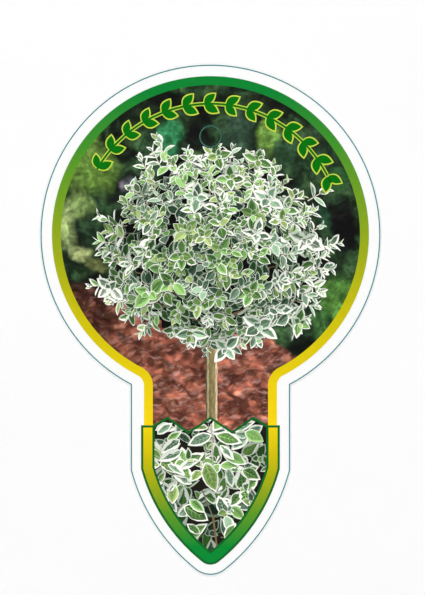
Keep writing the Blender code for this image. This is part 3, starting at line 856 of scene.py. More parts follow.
def leaf(root, along, face, length, temper, kind, margin, glow, rng):
    """One leaf: a pale margin round two darker halves, folded a little along the midrib."""
    across = face.cross(along)
    fold = math.radians(rng.uniform(*LEAF_FOLD))
    curl = rng.uniform(*LEAF_CURL) * length
    colour = rng.uniform(*LEAF_TONES)
    blotched = rng.random() < BLOTCH_CHANCE
    feathered = glow > FEATHER_LEAST_GLOW and rng.random() < FEATHER_CHANCE
    middle = root + along * length / 2.0
    green_reach = GREEN_REACH - RIM_AT_TIP * margin
    halves = []

    def spot(share, half, side):
        rise = across * (side * math.cos(fold)) + face * math.sin(fold)
        away = half * temper.slim * length
        return root + along * (share * length) + rise * away - face * (curl * share**2)

    for side in (1, -1):
        normal = face * math.cos(fold) - across * (side * math.sin(fold))
        upper = normal.z >= 0.0
        bright = glow * lit(normal)
        outer = [spot(0.0, 0.0, side)]
        inner = [spot(GREEN_START, 0.0, side)]
        core = [spot(CORE_START, 0.0, side)]
        blotch = [spot(BLOTCH_START, 0.0, side)]
        for share, half in LEAF_PROFILE:
            keep = min(GREEN_WIDTHS[1], max(GREEN_WIDTHS[0], 1.0 - margin * rng.uniform(*RIM_WANDER)))
            green = half * keep
            feather = 1.0 - FEATHER * rng.uniform(*FEATHER_WANDER)
            outer.append(spot(share, half, side))
            inner.append(spot(GREEN_START + share * green_reach, green, side))
            core.append(spot(CORE_START + share * CORE_REACH, green * feather, side))
            belly = green * rng.uniform(*BLOTCH_WIDTHS)
            blotch.append(spot(BLOTCH_START + share * BLOTCH_REACH, belly, side))
        outer.append(spot(1.0, 0.0, side))
        inner.append(spot(1.0 - RIM_AT_TIP * margin, 0.0, side))
        core.append(spot(CORE_END, 0.0, side))
        blotch.append(spot(BLOTCH_END, 0.0, side))
        facets = []
        for index in range(len(outer) - 1):
            quad = [outer[index], outer[index + 1], inner[index + 1], inner[index]]
            facets.append((quad, "cream", RIM_TONE * bright**RIM_CONTRAST))
        if feathered and upper:
            facets.append((inner, kind, bright * colour * FEATHER_TONE))
            facets.append((core, kind, bright * colour))
        else:
            facets.append((inner, kind if upper else "underside", bright * colour))
        if upper and blotched:
            facets.append((blotch, kind, bright * colour * BLOTCH_TONE))
        if upper:
            facets.append(([spot(*corner, side) for corner in MIDRIB], kind, bright * VEIN_TONE))
            for number in range(temper.veins):
                base = VEIN_START + VEIN_SPREAD * number / temper.veins
                end = base + VEIN_RUN
                tip = spot(end, leaf_half(end) * (1.0 - margin), side)
                vein = [spot(base, 0.0, side), spot(base + VEIN_WIDTH, 0.0, side), tip]
                facets.append((vein, kind, bright * VEIN_TONE))
        halves.append((sum(point.z for point in outer), outer, facets))
    outline = halves[0][1] + halves[1][1][-2:0:-1]
    shade = length * SHADE_FALL
    if abs(face.z) < EDGE_ON:
        hull = [outline[i] for i in convex_hull_2d([point.xy for point in outline])]
        return Card(middle.z, hull, [(hull, "cream", RIM_TONE * (glow * lit(face)) ** RIM_CONTRAST)], shade)
    halves.sort(key=lambda half: half[0])
    return Card(middle.z, outline, halves[0][2] + halves[1][2], shade)


def stem(start, end, width, kind, bright):
    """A straight piece of a stem or a bough."""
    run = (end - start).xy
    if run.length < width / 2.0:
        return None
    side = Vector((-run.y, run.x, 0.0)).normalized() * (width / 2.0)
    outline = [start - side, start + side, end + side * STEM_TAPER, end - side * STEM_TAPER]
    return Card((start.z + end.z) / 2.0, outline, [(outline, kind, bright)])


def at_right_angles(direction, rng):
    """A random direction across another one."""
    free = Vector((rng.gauss(0, 1), rng.gauss(0, 1), rng.gauss(0, 1)))
    return (free - direction * free.dot(direction)).normalized()


class Temper(NamedTuple):
    """How one shoot grows: its leaves' size, shape and colour, and how brightly it is lit."""

    leaf_length: float
    slim: float
    kind: str
    margin: float
    glow: float
    fresh: float
    veins: int = 0


def shoot(root, heading, pairs, step, temper, shade, rng):
    """A shoot: a stem with pairs of leaves, each pair turned a quarter from the one before."""
    cards = []
    node = root
    first = at_right_angles(heading, rng)
    second = heading.cross(first)
    for index in range(pairs):
        share = index / max(pairs - 1, 1)
        following = node + heading * step
        width = TWIG_WIDTH - TWIG_TAPER * share
        cards.append(stem(node, following, width, "twig", temper.glow * shade(node)))
        node = following
        turn = math.pi / 2 * index + rng.uniform(-PAIR_TWIST, PAIR_TWIST)
        wander = rng.uniform(-LEAF_SPREAD_WANDER, LEAF_SPREAD_WANDER)
        spread = math.radians(LEAF_SPREAD - LEAF_SPREAD_CLOSES * share + wander)
        shortened = 1.0 - LEAF_SHORTENS * share**LEAF_SHORTENS_CURVE
        length = temper.leaf_length * shortened * rng.uniform(*LEAF_LENGTHS)
        for side in (1, -1):
            out = (first * math.cos(turn) + second * math.sin(turn)) * side
            along = heading * math.cos(spread) + out * math.sin(spread)
            face = heading * math.sin(spread) - out * math.cos(spread)
            face = face + LIGHT * LEAF_TO_LIGHT + NEAR * LEAF_TO_FRONT
            face = (face - along * face.dot(along)).normalized()
            fresh = index >= pairs - FRESH_PAIRS and rng.random() < temper.fresh
            kind = "fresh_green" if fresh else temper.kind
            margin = temper.margin * (FRESH_MARGIN if fresh else rng.uniform(*LEAF_MARGINS))
            glow = temper.glow * shade(node + along * length / 2) * rng.uniform(*LEAF_GLOWS)
            cards.append(leaf(node, along, face, length, temper, kind, margin, glow, rng))
        heading = heading + UP * STEM_RISE + at_right_angles(heading, rng) * STEM_WANDER
        heading = heading.normalized()
    return cards


def crown_reach(direction):
    """How far the crown reaches in a direction, with low swells and the outline's dents."""
    reach = 1.0 + CROWN_SWELL * noise.noise(direction * CROWN_SWELL_WAVES + CROWN_SWELL_PLACE)
    degrees = math.degrees(math.atan2(direction.y, direction.x))
    for angle, depth in CROWN_DENTS:
        away = (degrees - angle + 180.0) % 360.0 - 180.0
        reach -= depth * math.exp(-((away / CROWN_DENT_WIDTH) ** 2)) * (1.0 - abs(direction.z))
    height = CROWN_REACH.y if direction.y > 0 else CROWN_FOOT_REACH
    return Vector((direction.x * CROWN_REACH.x, direction.y * height, direction.z * CROWN_REACH.z)) * reach


def crown_shade(point):
    """How bright a place in the crown is: dark inside, bright at its skin."""
    away = point - CROWN_CENTRE
    share = Vector((away.x / CROWN_REACH.x, away.y / CROWN_REACH.y, away.z / CROWN_REACH.z))
    depth = min(1.0, max(0.0, (share.length - CROWN_DARK_TO) / CROWN_DARK_FADE))
    return CROWN_DARKEST + (1.0 - CROWN_DARKEST) * depth


def crown_temper(direction, rng):
    """How a shoot of the crown grows, from where it stands."""
    glow = CROWN_GLOW - GLOW_LOST_IN_FRONT * direction.z + GLOW_ON_THE_RIGHT * direction.x
    glow = glow + GLOW_UP_AND_DOWN * abs(direction.y) + GLOW_AT_THE_TOP * direction.y
    glow += rng.uniform(*GLOW_WANDER)
    shares = [share + more * direction.z for share, more in zip(KIND_SHARES, KIND_SHARES_IN_FRONT)]
    kind = rng.choices(SHOOT_KINDS, shares)[0]
    length = CROWN_LEAF * rng.uniform(*CROWN_LEAF_LENGTHS) * (1.0 - CROWN_LEAF_LOST_AT_TOP * direction.y)
    fresh = rng.choice(CROWN_FRESH)
    margins = NARROW_MARGINS if rng.random() < NARROW_MARGIN_CHANCE else WIDE_MARGINS
    margin = rng.uniform(*margins)
    margin += MARGIN_AT_THE_EDGE * (1.0 - abs(direction.z)) + MARGIN_ON_THE_RIGHT * direction.x
    return Temper(length, rng.uniform(*CROWN_LEAF_SLIM), kind, margin, glow, fresh)


def feature_shoot(spot, length, kind, margin, fresh, rng):
    """A rosette that faces the front, at a place on the crown's skin."""
    away = Vector((*spot, 0.0)) - CROWN_CENTRE
    flat = Vector((away.x / CROWN_REACH.x, away.y / CROWN_REACH.y, 0.0))
    depth = math.sqrt(max(FEATURE_LEAST_DEPTH, 1.0 - flat.length_squared))
    root = Vector((*spot, CROWN_REACH.z * depth + FEATURE_NEARER))
    heading = (flat * FEATURE_LEAN + NEAR + at_right_angles(NEAR, rng) * FEATURE_STRAY).normalized()
    temper = Temper(length, rng.uniform(*FEATURE_SLIM), kind, margin, FEATURE_GLOW, fresh)
    return shoot(root, heading, FEATURE_PAIRS, FEATURE_STEP, temper, crown_shade, rng)


def front_shoots(rng):
    """Shoots all over the front of the crown, evenly spaced."""
    cards = []
    for index in range(CROWN_SHOOTS):
        flat = math.sqrt((index + 0.5) / CROWN_SHOOTS)
        depth = math.sqrt(1.0 - flat**2)
        angle = index * GOLDEN_ANGLE
        direction = Vector((flat * math.cos(angle), flat * math.sin(angle), depth))
        stray = at_right_angles(direction, rng) * rng.uniform(*SHOOT_STRAYS)
        direction = (direction + stray).normalized()
        root = CROWN_CENTRE + crown_reach(direction) * rng.uniform(*SHOOT_ROOTS)
        lift = UP * (SHOOT_LIFT + SHOOT_LIFT_AT_TOP * max(0.0, direction.y))
        lean = at_right_angles(direction, rng) * rng.uniform(*SHOOT_LEANS)
        heading = (direction + lift + lean).normalized()
        pairs = rng.choice(SHOOT_PAIRS)
        step = rng.uniform(*SHOOT_STEPS)
        cards += shoot(root, heading, pairs, step, crown_temper(direction, rng), crown_shade, rng)
    return cards


def rim_shoots(rng):
    """Shoots round the edge of the crown."""
    cards = []
    for index in range(RIM_SHOOTS):
        angle = 2.0 * math.pi * (index + rng.uniform(-RIM_STRAY, RIM_STRAY)) / RIM_SHOOTS
        direction = Vector((math.cos(angle), math.sin(angle), rng.uniform(*RIM_DEPTHS))).normalized()
        out = rng.uniform(*RIM_INNER_ROOTS) if index % 2 else RIM_OUTER_ROOT
        root = CROWN_CENTRE + crown_reach(direction) * out
        lean = at_right_angles(direction, rng) * rng.uniform(*RIM_LEANS)
        heading = (direction + NEAR * RIM_TO_FRONT + lean).normalized()
        step = rng.uniform(*RIM_STEPS)
        cards += shoot(root, heading, RIM_PAIRS, step, crown_temper(direction, rng), crown_shade, rng)
    return cards


def sprig_shoots(rng):
    """The sprigs that stand out of the crown."""
    cards = []
    for degrees, reach in SPRIGS:
        angle = math.radians(degrees)
        direction = Vector((math.cos(angle), math.sin(angle), SPRIG_DEPTH)).normalized()
        out = reach - SPRIG_PAIRS * SPRIG_STEP - SPRIG_LEAF_REACH * CROWN_LEAF
        root = CROWN_CENTRE + direction * out
        heading = (direction + UP * SPRIG_RISE + NEAR * rng.uniform(*SPRIG_TURNS)).normalized()
        temper = crown_temper(direction, rng)
        temper = temper._replace(glow=SPRIG_GLOW, leaf_length=CROWN_LEAF, margin=SPRIG_MARGIN)
        cards += shoot(root, heading, SPRIG_PAIRS, SPRIG_STEP, temper, crown_shade, rng)
    return cards


def inner_leaves(rng):
    """Dim single leaves between the shoots."""
    cards = []
    for index in range(INNER_LEAVES):
        depth = rng.uniform(*INNER_DEPTHS)
        flat = math.sqrt(1.0 - depth**2)
        angle = rng.uniform(0.0, 2.0 * math.pi)
        direction = Vector((flat * math.cos(angle), flat * math.sin(angle), max(depth, 0.0)))
        root = CROWN_CENTRE + crown_reach(direction) * rng.uniform(*INNER_ROOTS)
        along = at_right_angles(direction, rng)
        face = direction + UP * INNER_RISE + at_right_angles(along, rng) * INNER_LEAN
        face = (face - along * face.dot(along)).normalized()
        kind = rng.choice(INNER_KINDS)
        glow = rng.uniform(*INNER_GLOWS)
        temper = crown_temper(direction, rng)
        margin = rng.uniform(*INNER_MARGINS)
        cards.append(leaf(root, along, face, CROWN_LEAF, temper, kind, margin, glow, rng))
    return cards


def crown_cards(seed=6):
    """Every leaf and stem of the crown."""
    rng = random.Random(seed)
    cards = front_shoots(rng) + rim_shoots(rng) + sprig_shoots(rng) + inner_leaves(rng)
    for feature in CROWN_FEATURES:
        cards += feature_shoot(*feature, rng)
    return [card for card in cards if card]


def bough_cards(seed=3):
    """The boughs that fan out from the top of the trunk into the crown."""
    rng = random.Random(seed)
    cards = []
    for index in range(BOUGHS):
        stray = rng.uniform(-BOUGH_STRAY, BOUGH_STRAY)
        angle = math.radians(BOUGH_FIRST + BOUGH_APART * index + stray)
        out, up = BOUGH_REACH.x * math.cos(angle), BOUGH_REACH.y * math.sin(angle)
        goal = FORK + Vector((out, up, rng.uniform(*BOUGH_NEARNESS)))
        node = FORK
        width = BOUGH_WIDTH
        for step in range(1, BOUGH_STEPS + 1):
            share = step / BOUGH_STEPS
            aside = rng.uniform(-BOUGH_WANDER, BOUGH_WANDER)
            wander = Vector((aside, rng.uniform(-BOUGH_WANDER, BOUGH_WANDER), 0.0))
            arch = UP * (BOUGH_ARCH * math.sin(math.pi * share))
            following = FORK.lerp(goal, share) + arch + wander
            cards.append(stem(node, following, width, "bough", rng.uniform(*BOUGH_TONES)))
            node = following
            width *= BOUGH_THINS
    return [card for card in cards if card]


def back_card(loop, depth, kind):
    """A flat backing behind everything else, in the darkest tone of its kind."""
    points = [Vector((x, y, depth)) for x, y in loop]
    return Card(depth, points, [(points, kind, 0.0)])


def crown_backing(seed=11):
    """The dark inside of the crown, ragged at its edge."""
    rng = random.Random(seed)
    loop = []
    for index in range(BACKING_SIDES):
        angle = 2.0 * math.pi * index / BACKING_SIDES
        direction = Vector((math.cos(angle), math.sin(angle), 0.0))
        point = CROWN_CENTRE + crown_reach(direction) * rng.uniform(*BACKING_EDGE)
        loop.append((point.x, point.y))
    return back_card(loop, BACKING_DEPTH, "gap")


def trunk_card(seed=2):
    """The trunk, with sides that wobble a little."""
    rng = random.Random(seed)
    left = []
    right = []
    for index in range(TRUNK_STEPS + 1):
        y = TRUNK_FOOT + (TRUNK_TOP - TRUNK_FOOT) * index / TRUNK_STEPS
        left.append((TRUNK_LEFT + rng.uniform(-TRUNK_WOBBLE, TRUNK_WOBBLE), y))
        right.append((TRUNK_RIGHT + rng.uniform(-TRUNK_WOBBLE, TRUNK_WOBBLE), y))
    return back_card(right + left[::-1], TRUNK_DEPTH, "trunk")


def close_temper(rng):
    """How a shoot of the close view grows."""
    glow = rng.uniform(*CLOSE_GLOWS)
    kind = rng.choices(SHOOT_KINDS, CLOSE_KIND_SHARES)[0]
    length = CLOSE_LEAF * rng.uniform(*CLOSE_LEAF_LENGTHS)
    slim = rng.uniform(*CLOSE_LEAF_SLIM)
    return Temper(length, slim, kind, rng.uniform(*CLOSE_MARGINS), glow, CLOSE_FRESH, CLOSE_VEINS)


def close_shade(point):
    """The close view is darker deep inside, and towards its foot."""
    light = CLOSE_LIGHT + point.z / CLOSE_LIGHT_DEPTH + (point.y - CLOSE_CENTRE.y) / CLOSE_LIGHT_HEIGHT
    return min(1.0, max(CLOSE_DARKEST, light))


def close_cards(seed=8):
    """Every leaf and stem of the close view, as a bank of shoots that face the front."""
    rng = random.Random(seed)
    cards = []
    for index in range(CLOSE_SHOOTS):
        share = math.sqrt((index + 0.5) / CLOSE_SHOOTS)
        angle = index * GOLDEN_ANGLE
        root = CLOSE_CENTRE + Vector((
            CLOSE_REACH.x * share * math.cos(angle),
            CLOSE_REACH.y * share * math.sin(angle),
            rng.uniform(-CLOSE_REACH.z, CLOSE_REACH.z),
        ))
        lean = at_right_angles(NEAR, rng) * rng.uniform(*CLOSE_LEANS)
        heading = (NEAR + UP * CLOSE_RISE + lean).normalized()
        pairs = rng.choice(CLOSE_PAIRS)
        step = rng.uniform(*CLOSE_STEPS)
        cards += shoot(root, heading, pairs, step, close_temper(rng), close_shade, rng)
    for root, tip, slim, kind, margin in CLOSE_FEATURES:
        start = Vector((*root, CLOSE_NEAREST + rng.uniform(*STANDING_NEARER)))
        along = Vector((tip[0] - root[0], tip[1] - root[1], rng.uniform(*STANDING_TIPS)))
        face = NEAR + UP * STANDING_RISE + at_right_angles(NEAR, rng) * STANDING_STRAY
        face = (face - along * face.dot(along) / along.length_squared).normalized()
        temper = close_temper(rng)._replace(slim=slim)
        length = along.length
        along = along.normalized()
        cards.append(leaf(start, along, face, length, temper, kind, margin, STANDING_GLOW, rng))
    for start, end, width, kind, bright in CLOSE_STEMS:
        ends = (Vector((*start, CLOSE_NEAREST)), Vector((*end, CLOSE_NEAREST)))
        cards.append(stem(*ends, width, kind, bright))
    return [card for card in cards if card]


def inside(outline, xs, ys):
    """Which points lie inside an outline."""
    hit = np.zeros(xs.shape, bool)
    for start, end in zip(outline, outline[1:] + outline[:1]):
        if start.y == end.y:
            continue
        crosses = (start.y > ys) != (end.y > ys)
        hit ^= crosses & (xs < (end.x - start.x) * (ys - start.y) / (end.y - start.y) + start.x)
    return hit


def signed_area(points):
    """Twice the area of a polygon, positive if it runs counter-clockwise."""
    return sum(a.x * b.y - b.x * a.y for a, b in zip(points, points[1:] + points[:1]))


def facets_that_show(cards):
    """What shows of cards that are sorted from far to near: their facets, and where their shade falls.

    Each shade comes with the number of the first facet that lies nearer than what it falls on.
    """
    points = [point for card in cards for point in card.outline]
    low = (min(point.x for point in points), min(point.y for point in points))
    high = (max(point.x for point in points), max(point.y for point in points))
    columns = np.arange(low[0], high[0] + SAMPLE, SAMPLE)
    rows = np.arange(low[1], high[1] + SAMPLE, SAMPLE)
    covered = np.zeros((len(rows), len(columns)), bool)
    shown = []
    shades = []
    for card in reversed(cards):
        seen = len(shown)
        for facet in reversed(card.facets):
            points = facet[0]
            if abs(signed_area(points)) < SMALLEST_FACET:
                continue
            left, right = np.searchsorted(columns, (min(p.x for p in points), max(p.x for p in points)))
            foot, top = np.searchsorted(rows, (min(p.y for p in points), max(p.y for p in points)))
            xs, ys = np.meshgrid(columns[left:right], rows[foot:top])
            hit = inside(points, xs, ys)
            area = covered[foot:top, left:right]
            if not hit.any() or (hit & ~area).any():
                shown.append(facet)
            area |= hit
        if card.shade and len(shown) > seen:
            fall = Vector((-LIGHT.x, -LIGHT.y, 0.0)) * card.shade
            shades.append(([point + fall for point in card.outline], len(shown)))
    return shown[::-1], [(loop, len(shown) - last) for loop, last in shades]


def film_window(*nodes):
    """The top faces of printed films, as polygons in millimetres."""
    polygons = []
    for node in nodes:
        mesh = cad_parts[node].data
        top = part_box(node)[1].z
        for face in mesh.polygons:
            points = [mesh.vertices[i].co for i in face.vertices]
            if min(point.z for point in points) > top - FILM_THICKNESS * MM / 2:
                polygons.append([Vector((point.x / MM, point.y / MM)) for point in points])
    return polygons


def tone_index(kind, bright):
    """Which tone of its kind a facet gets."""
    steps = TONES[kind][2]
    return min(steps - 1, max(0, round(bright * (steps - 1))))


class Field:
    """Many points, sorted so that those in a polygon are found quickly."""

    def __init__(self, points):
        self.order = np.argsort(points[:, 0])
        self.xs, self.ys = points[self.order, 0], points[self.order, 1]

    def within(self, polygon, wanted):
        """The places in the sorted order of the wanted points that lie in a polygon."""
        left, right = np.searchsorted(self.xs, (min(p.x for p in polygon), max(p.x for p in polygon)))
        low, high = min(p.y for p in polygon), max(p.y for p in polygon)
        ys = self.ys[left:right]
        near = left + np.flatnonzero((ys > low) & (ys < high) & wanted[left:right])
        return near[inside(polygon, self.xs[near], self.ys[near])]

    def cover(self, polygons):
        """For each point, the number of the last polygon that it lies in, or -1, in the sorted order."""
        found = np.full(len(self.xs), -1)
        for index in range(len(polygons) - 1, -1, -1):
            found[self.within(polygons[index], found < 0)] = index
        return found


def sound_triangles(spots, faces):
    """Faces as triangles that face up, each kept once. A few faces have more than three corners."""
    found = {}
    for face in faces:
        for pair in zip(face[1:], face[2:]):
            found[frozenset((face[0], *pair))] = (face[0], *pair)
    triangles = np.array(list(found.values()))
    corners = spots[triangles]
    sides = corners[:, 1:] - corners[:, :1]
    turn = sides[:, 0, 0] * sides[:, 1, 1] - sides[:, 0, 1] * sides[:, 1, 0]
    return triangles[turn > 0.0]


def press_flat(cards, window, bare):
    """Cuts cards into flat triangles that don't overlap, each with the tone of what is nearest.

    Only what lies in the window is kept, and nothing is printed on the bare parts.
    """
    facets, shades = facets_that_show(sorted(cards, key=lambda card: card.depth))
    outlines = [facet[0] for facet in facets]
    corners = []
    edges = []
    for loop in [*window, *bare, *outlines, *(shade[0] for shade in shades)]:
        first, count = len(corners), len(loop)
        corners += [point.xy for point in loop]
        edges += [(first + index, first + (index + 1) % count) for index in range(count)]
    pressed = delaunay_2d_cdt(corners, edges, [], 0, MERGE)
    spots = np.array([tuple(spot) for spot in pressed[0]])
    triangles = sound_triangles(spots, pressed[2])
    field = Field(spots[triangles].mean(axis=1))
    nearest = field.cover(outlines)
    depth = np.zeros(len(nearest), int)
    for loop, first in shades:
        depth[field.within(loop, nearest < first)] += 1
    kept = np.flatnonzero((nearest >= 0) & (field.cover(window) >= 0) & (field.cover(bare) < 0))
    regions = []
    for place in kept:
        kind, bright = facets[nearest[place]][1:]
        shaded = SHADE_TONES[min(depth[place], len(SHADE_TONES) - 1)]
        bright *= shaded**RIM_SHADE if kind == "cream" else shaded
        regions.append((triangles[field.order[place]], (kind, tone_index(kind, bright))))
    return spots, regions


def film_pieces(cards, window, groups, bare):
    """Makes printed film from cards: one piece for each group of kinds."""
    points, regions = press_flat(cards, window, bare)
    tones = [(kind, step) for kind in TONES for step in range(TONES[kind][2])]
    film = bmesh.new()
    spots = [film.verts.new((x * MM, y * MM, SECOND_FILM_TOP * MM)) for x, y in points]
    for region, tone in regions:
        film.faces.new([spots[i] for i in region]).material_index = tones.index(tone)
    unused = [spot for spot in film.verts if not spot.link_faces]
    bmesh.ops.delete(film, geom=unused, context="VERTS")
    bmesh.ops.dissolve_limit(
        film, angle_limit=FLAT_ANGLE, use_dissolve_boundaries=False,
        verts=film.verts, edges=film.edges, delimit={"MATERIAL"},
    )
    thicken(film)
    return {name: film_piece(film, name, kinds, tones) for name, kinds in groups.items()}


def thicken(film):
    """Walls from the outer edges of a film down to the film below."""
    low = {}
    for edge in [edge for edge in film.edges if edge.is_boundary]:
        face = edge.link_faces[0]
        start = edge.link_loops[0].vert
        end = edge.other_vert(start)
        for spot in (start, end):
            if spot not in low:
                low[spot] = film.verts.new(spot.co - NEAR * (FILM_THICKNESS * MM))
        film.faces.new((end, start, low[start], low[end])).material_index = face.material_index


def film_piece(film, name, kinds, tones):
    """One group's faces of a film as an object."""
    inks = [(kind, step) for kind in kinds for step in range(TONES[kind][2])]
    faces = [face for face in film.faces if tones[face.material_index][0] in kinds]
    verts = list({vert: None for face in faces for vert in face.verts})
    place = {vert: index for index, vert in enumerate(verts)}
    mesh = bpy.data.meshes.new(name)
    mesh.from_pydata([vert.co for vert in verts], [], [[place[v] for v in face.verts] for face in faces])
    mesh.polygons.foreach_set("material_index", [inks.index(tones[face.material_index]) for face in faces])
    for kind, step in inks:
        mesh.materials.append(INKS[kind][step])
    mesh.update()
    return link(bpy.data.objects.new(name, mesh))


def link(thing):
    """Puts an object in the scene."""
    bpy.context.scene.collection.objects.link(thing)
    return thing


def circle(centre, radius, sides=48):
    """A round outline."""
    turns = [2.0 * math.pi * index / sides for index in range(sides)]
    return [centre + Vector((math.cos(turn), math.sin(turn))) * radius for turn in turns]


# What the garland's nodes are given for each layer of it
GARLAND_INPUTS = {
    "Radius": "NodeSocketFloat",
    "Vine Width": "NodeSocketFloat",
    "Leaf Start": "NodeSocketFloat",
    "Leaf Length": "NodeSocketFloat",
    "Leaf Width": "NodeSocketFloat",
    "Bottom": "NodeSocketFloat",
    "Top": "NodeSocketFloat",
    "Ink": "NodeSocketMaterial",
}


def garland_leaf(nodes, given):
    """A flat pointed leaf along X, between two curved edges."""
    start = given["Leaf Start"]
    middle = start + given["Leaf Length"] * GARLAND_LEAF_BELLY
    end = start + given["Leaf Length"]
    edges = nodes.node("GeometryNodeJoinGeometry")
    for side in (1.0, -1.0):
        inputs = {
            "Start": nodes.point(start, 0.0),
            "Middle": nodes.point(middle, given["Leaf Width"] * side),
            "End": nodes.point(end, 0.0),
            "Resolution": GARLAND_LEAF_STEPS,
        }
        curve = nodes.node("GeometryNodeCurveQuadraticBezier", None, inputs)
        edge = nodes.node("GeometryNodeCurveToMesh", None, {"Curve": curve})
        nodes.feed(edges.socket.node.inputs[0], edge)
    closed = nodes.node("GeometryNodeMergeByDistance", None, {
        "Geometry": edges, "Distance": GARLAND_LEAF_MERGE * MM,
    })
    outline = nodes.node("GeometryNodeMeshToCurve", None, {"Mesh": closed})
    return nodes.node("GeometryNodeFillCurve", None, {"Curve": outline})


def garland_tree():
    """Geometry nodes that lay a vine along an arc, with pairs of leaves growing from it."""
    tree = bpy.data.node_groups.new("garland", "GeometryNodeTree")
    for name, kind in GARLAND_INPUTS.items():
        tree.interface.new_socket(name, in_out="INPUT", socket_type=kind)
    tree.interface.new_socket("Geometry", in_out="OUTPUT", socket_type="NodeSocketGeometry")
    nodes = GeometryNodes(tree)
    entry = tree.nodes.new("NodeGroupInput")
    given = {name: Value(nodes, entry.outputs[name]) for name in GARLAND_INPUTS}
    arc_inputs = {
        "Resolution": GARLAND_ARC_POINTS,
        "Radius": given["Radius"],
        "Start Angle": math.radians(GARLAND_ARC[1]),
        "Sweep Angle": math.radians(GARLAND_ARC[0] - GARLAND_ARC[1]),
    }
    arc = nodes.node("GeometryNodeCurveArc", {"mode": "RADIUS"}, arc_inputs)
    thickness = given["Top"] - given["Bottom"]
    ribbon = nodes.node("GeometryNodeCurvePrimitiveQuadrilateral", None, {
        "Width": given["Vine Width"],
        "Height": thickness,
    })
    vine = nodes.node("GeometryNodeCurveToMesh", None, {
        "Curve": arc, "Profile Curve": ribbon, "Fill Caps": True,
    })
    vine = nodes.node("GeometryNodeTransform", None, {
        "Geometry": vine,
        "Translation": nodes.point(0.0, 0.0, thickness * 0.5 - GARLAND_VINE_SUNK * MM),
    })
    places = nodes.node("GeometryNodeCurveToPoints", {"mode": "COUNT"}, {
        "Curve": arc, "Count": GARLAND_PAIRS,
    })
    tangent = Value(nodes, places.socket.node.outputs["Tangent"])
    heading = nodes.node("FunctionNodeAlignRotationToVector", {"axis": "X", "pivot_axis": "Z"}, {
        "Vector": nodes.node("ShaderNodeVectorMath", {"operation": "SCALE"}, {0: tangent, "Scale": -1.0}),
    })
    leaf_shape = garland_leaf(nodes, given)
    joined = nodes.node("GeometryNodeJoinGeometry")
    nodes.feed(joined.socket.node.inputs[0], vine)
    for side in (1, -1):
        size = nodes.chance(*GARLAND_SIZES, GARLAND_SIZE_SEED + side)
        least = math.radians(GARLAND_LEAN - GARLAND_LEAN_WANDER)
        most = math.radians(GARLAND_LEAN + GARLAND_LEAN_WANDER)
        lean = nodes.point(0.0, 0.0, nodes.chance(least, most, GARLAND_LEAN_SEED + side) * side)
        turn = nodes.node("FunctionNodeRotateRotation", {"rotation_space": "LOCAL"}, {
            "Rotation": heading,
            "Rotate By": nodes.node("FunctionNodeEulerToRotation", None, {0: lean}),
        })
        leaves = nodes.node("GeometryNodeInstanceOnPoints", None, {
            "Points": places, "Instance": leaf_shape, "Rotation": turn, "Scale": size,
        })
        leaves = nodes.node("GeometryNodeRealizeInstances", None, {"Geometry": leaves})
        raised = nodes.node("GeometryNodeExtrudeMesh", {"mode": "FACES"}, {
            "Mesh": leaves, "Offset": (0.0, 0.0, 1.0), "Offset Scale": thickness, "Individual": False,
        })
        nodes.feed(joined.socket.node.inputs[0], raised)
    placed = nodes.node("GeometryNodeTransform", None, {
        "Geometry": joined,
        "Translation": nodes.point(HEAD_CENTRE.x * MM, HEAD_CENTRE.y * MM, given["Bottom"]),
    })
    realized = nodes.node("GeometryNodeRealizeInstances", None, {"Geometry": placed})
    inked = nodes.node("GeometryNodeSetMaterial", None, {"Geometry": realized, "Material": given["Ink"]})
    leaving = tree.nodes.new("NodeGroupOutput")
    nodes.feed(leaving.inputs[0], inked)
    return tree


def garland_piece(name, tree, ink, **sizes):
    """One layer of the garland as a plain mesh. Sizes are in millimetres."""
    seed = link(bpy.data.objects.new(name + "_seed", bpy.data.meshes.new(name + "_seed")))
    modifier = seed.modifiers.new("garland", "NODES")
    modifier.node_group = tree
    values = {key.replace("_", " ").title(): value * MM for key, value in sizes.items()}
    values["Ink"] = ink
    for socket in tree.interface.items_tree:
        if socket.in_out == "INPUT":
            modifier[socket.identifier] = values[socket.name]
    seed.update_tag()
    graph = bpy.context.evaluated_depsgraph_get()
    mesh = bpy.data.meshes.new_from_object(seed.evaluated_get(graph), depsgraph=graph)
    mesh.name = name
    bpy.data.objects.remove(seed)
    return link(bpy.data.objects.new(name, mesh))


def table():
    """A round white table that sweeps up into a wall."""
    profile = [(0.0, 0.0), (TABLE_RADIUS, 0.0)]
    for step in range(1, SWEEP_STEPS + 1):
        turn = math.pi / 2 * step / SWEEP_STEPS
        out = TABLE_RADIUS + WALL_SWEEP * math.sin(turn)
        profile.append((out, WALL_SWEEP * (1.0 - math.cos(turn))))
    profile.append((TABLE_RADIUS + WALL_SWEEP, WALL_HEIGHT))
    rings = []
    verts = []
    faces = []
    for radius, height in profile[1:]:
        ring = range(len(verts), len(verts) + TABLE_SIDES)
        for index in range(TABLE_SIDES):
            turn = 2.0 * math.pi * index / TABLE_SIDES
            spot = (radius * math.cos(turn), radius * math.sin(turn), height - TABLE_DROP)
            verts.append([coordinate * MM for coordinate in spot])
        rings.append(ring)
    faces.append(list(rings[0]))
    for inner, outer in zip(rings, rings[1:]):
        for index in range(TABLE_SIDES):
            following = (index + 1) % TABLE_SIDES
            faces.append([inner[index], outer[index], outer[following], inner[following]])
    mesh = bpy.data.meshes.new("table")
    mesh.from_pydata(verts, [], faces)
    mesh.polygons.foreach_set("use_smooth", [index > 0 for index in range(len(faces))])
    mesh.materials.append(table_finish())
    mesh.update()
    return link(bpy.data.objects.new("table", mesh))


def table_finish():
    """Matt white board."""
    graph = Graph("table_board", roughness=0.9, specular=0.1)
    graph.feed(graph.shader.inputs["Base Color"], graph.clouded(TABLE_WHITES, TABLE_WAVES))
    return graph.material


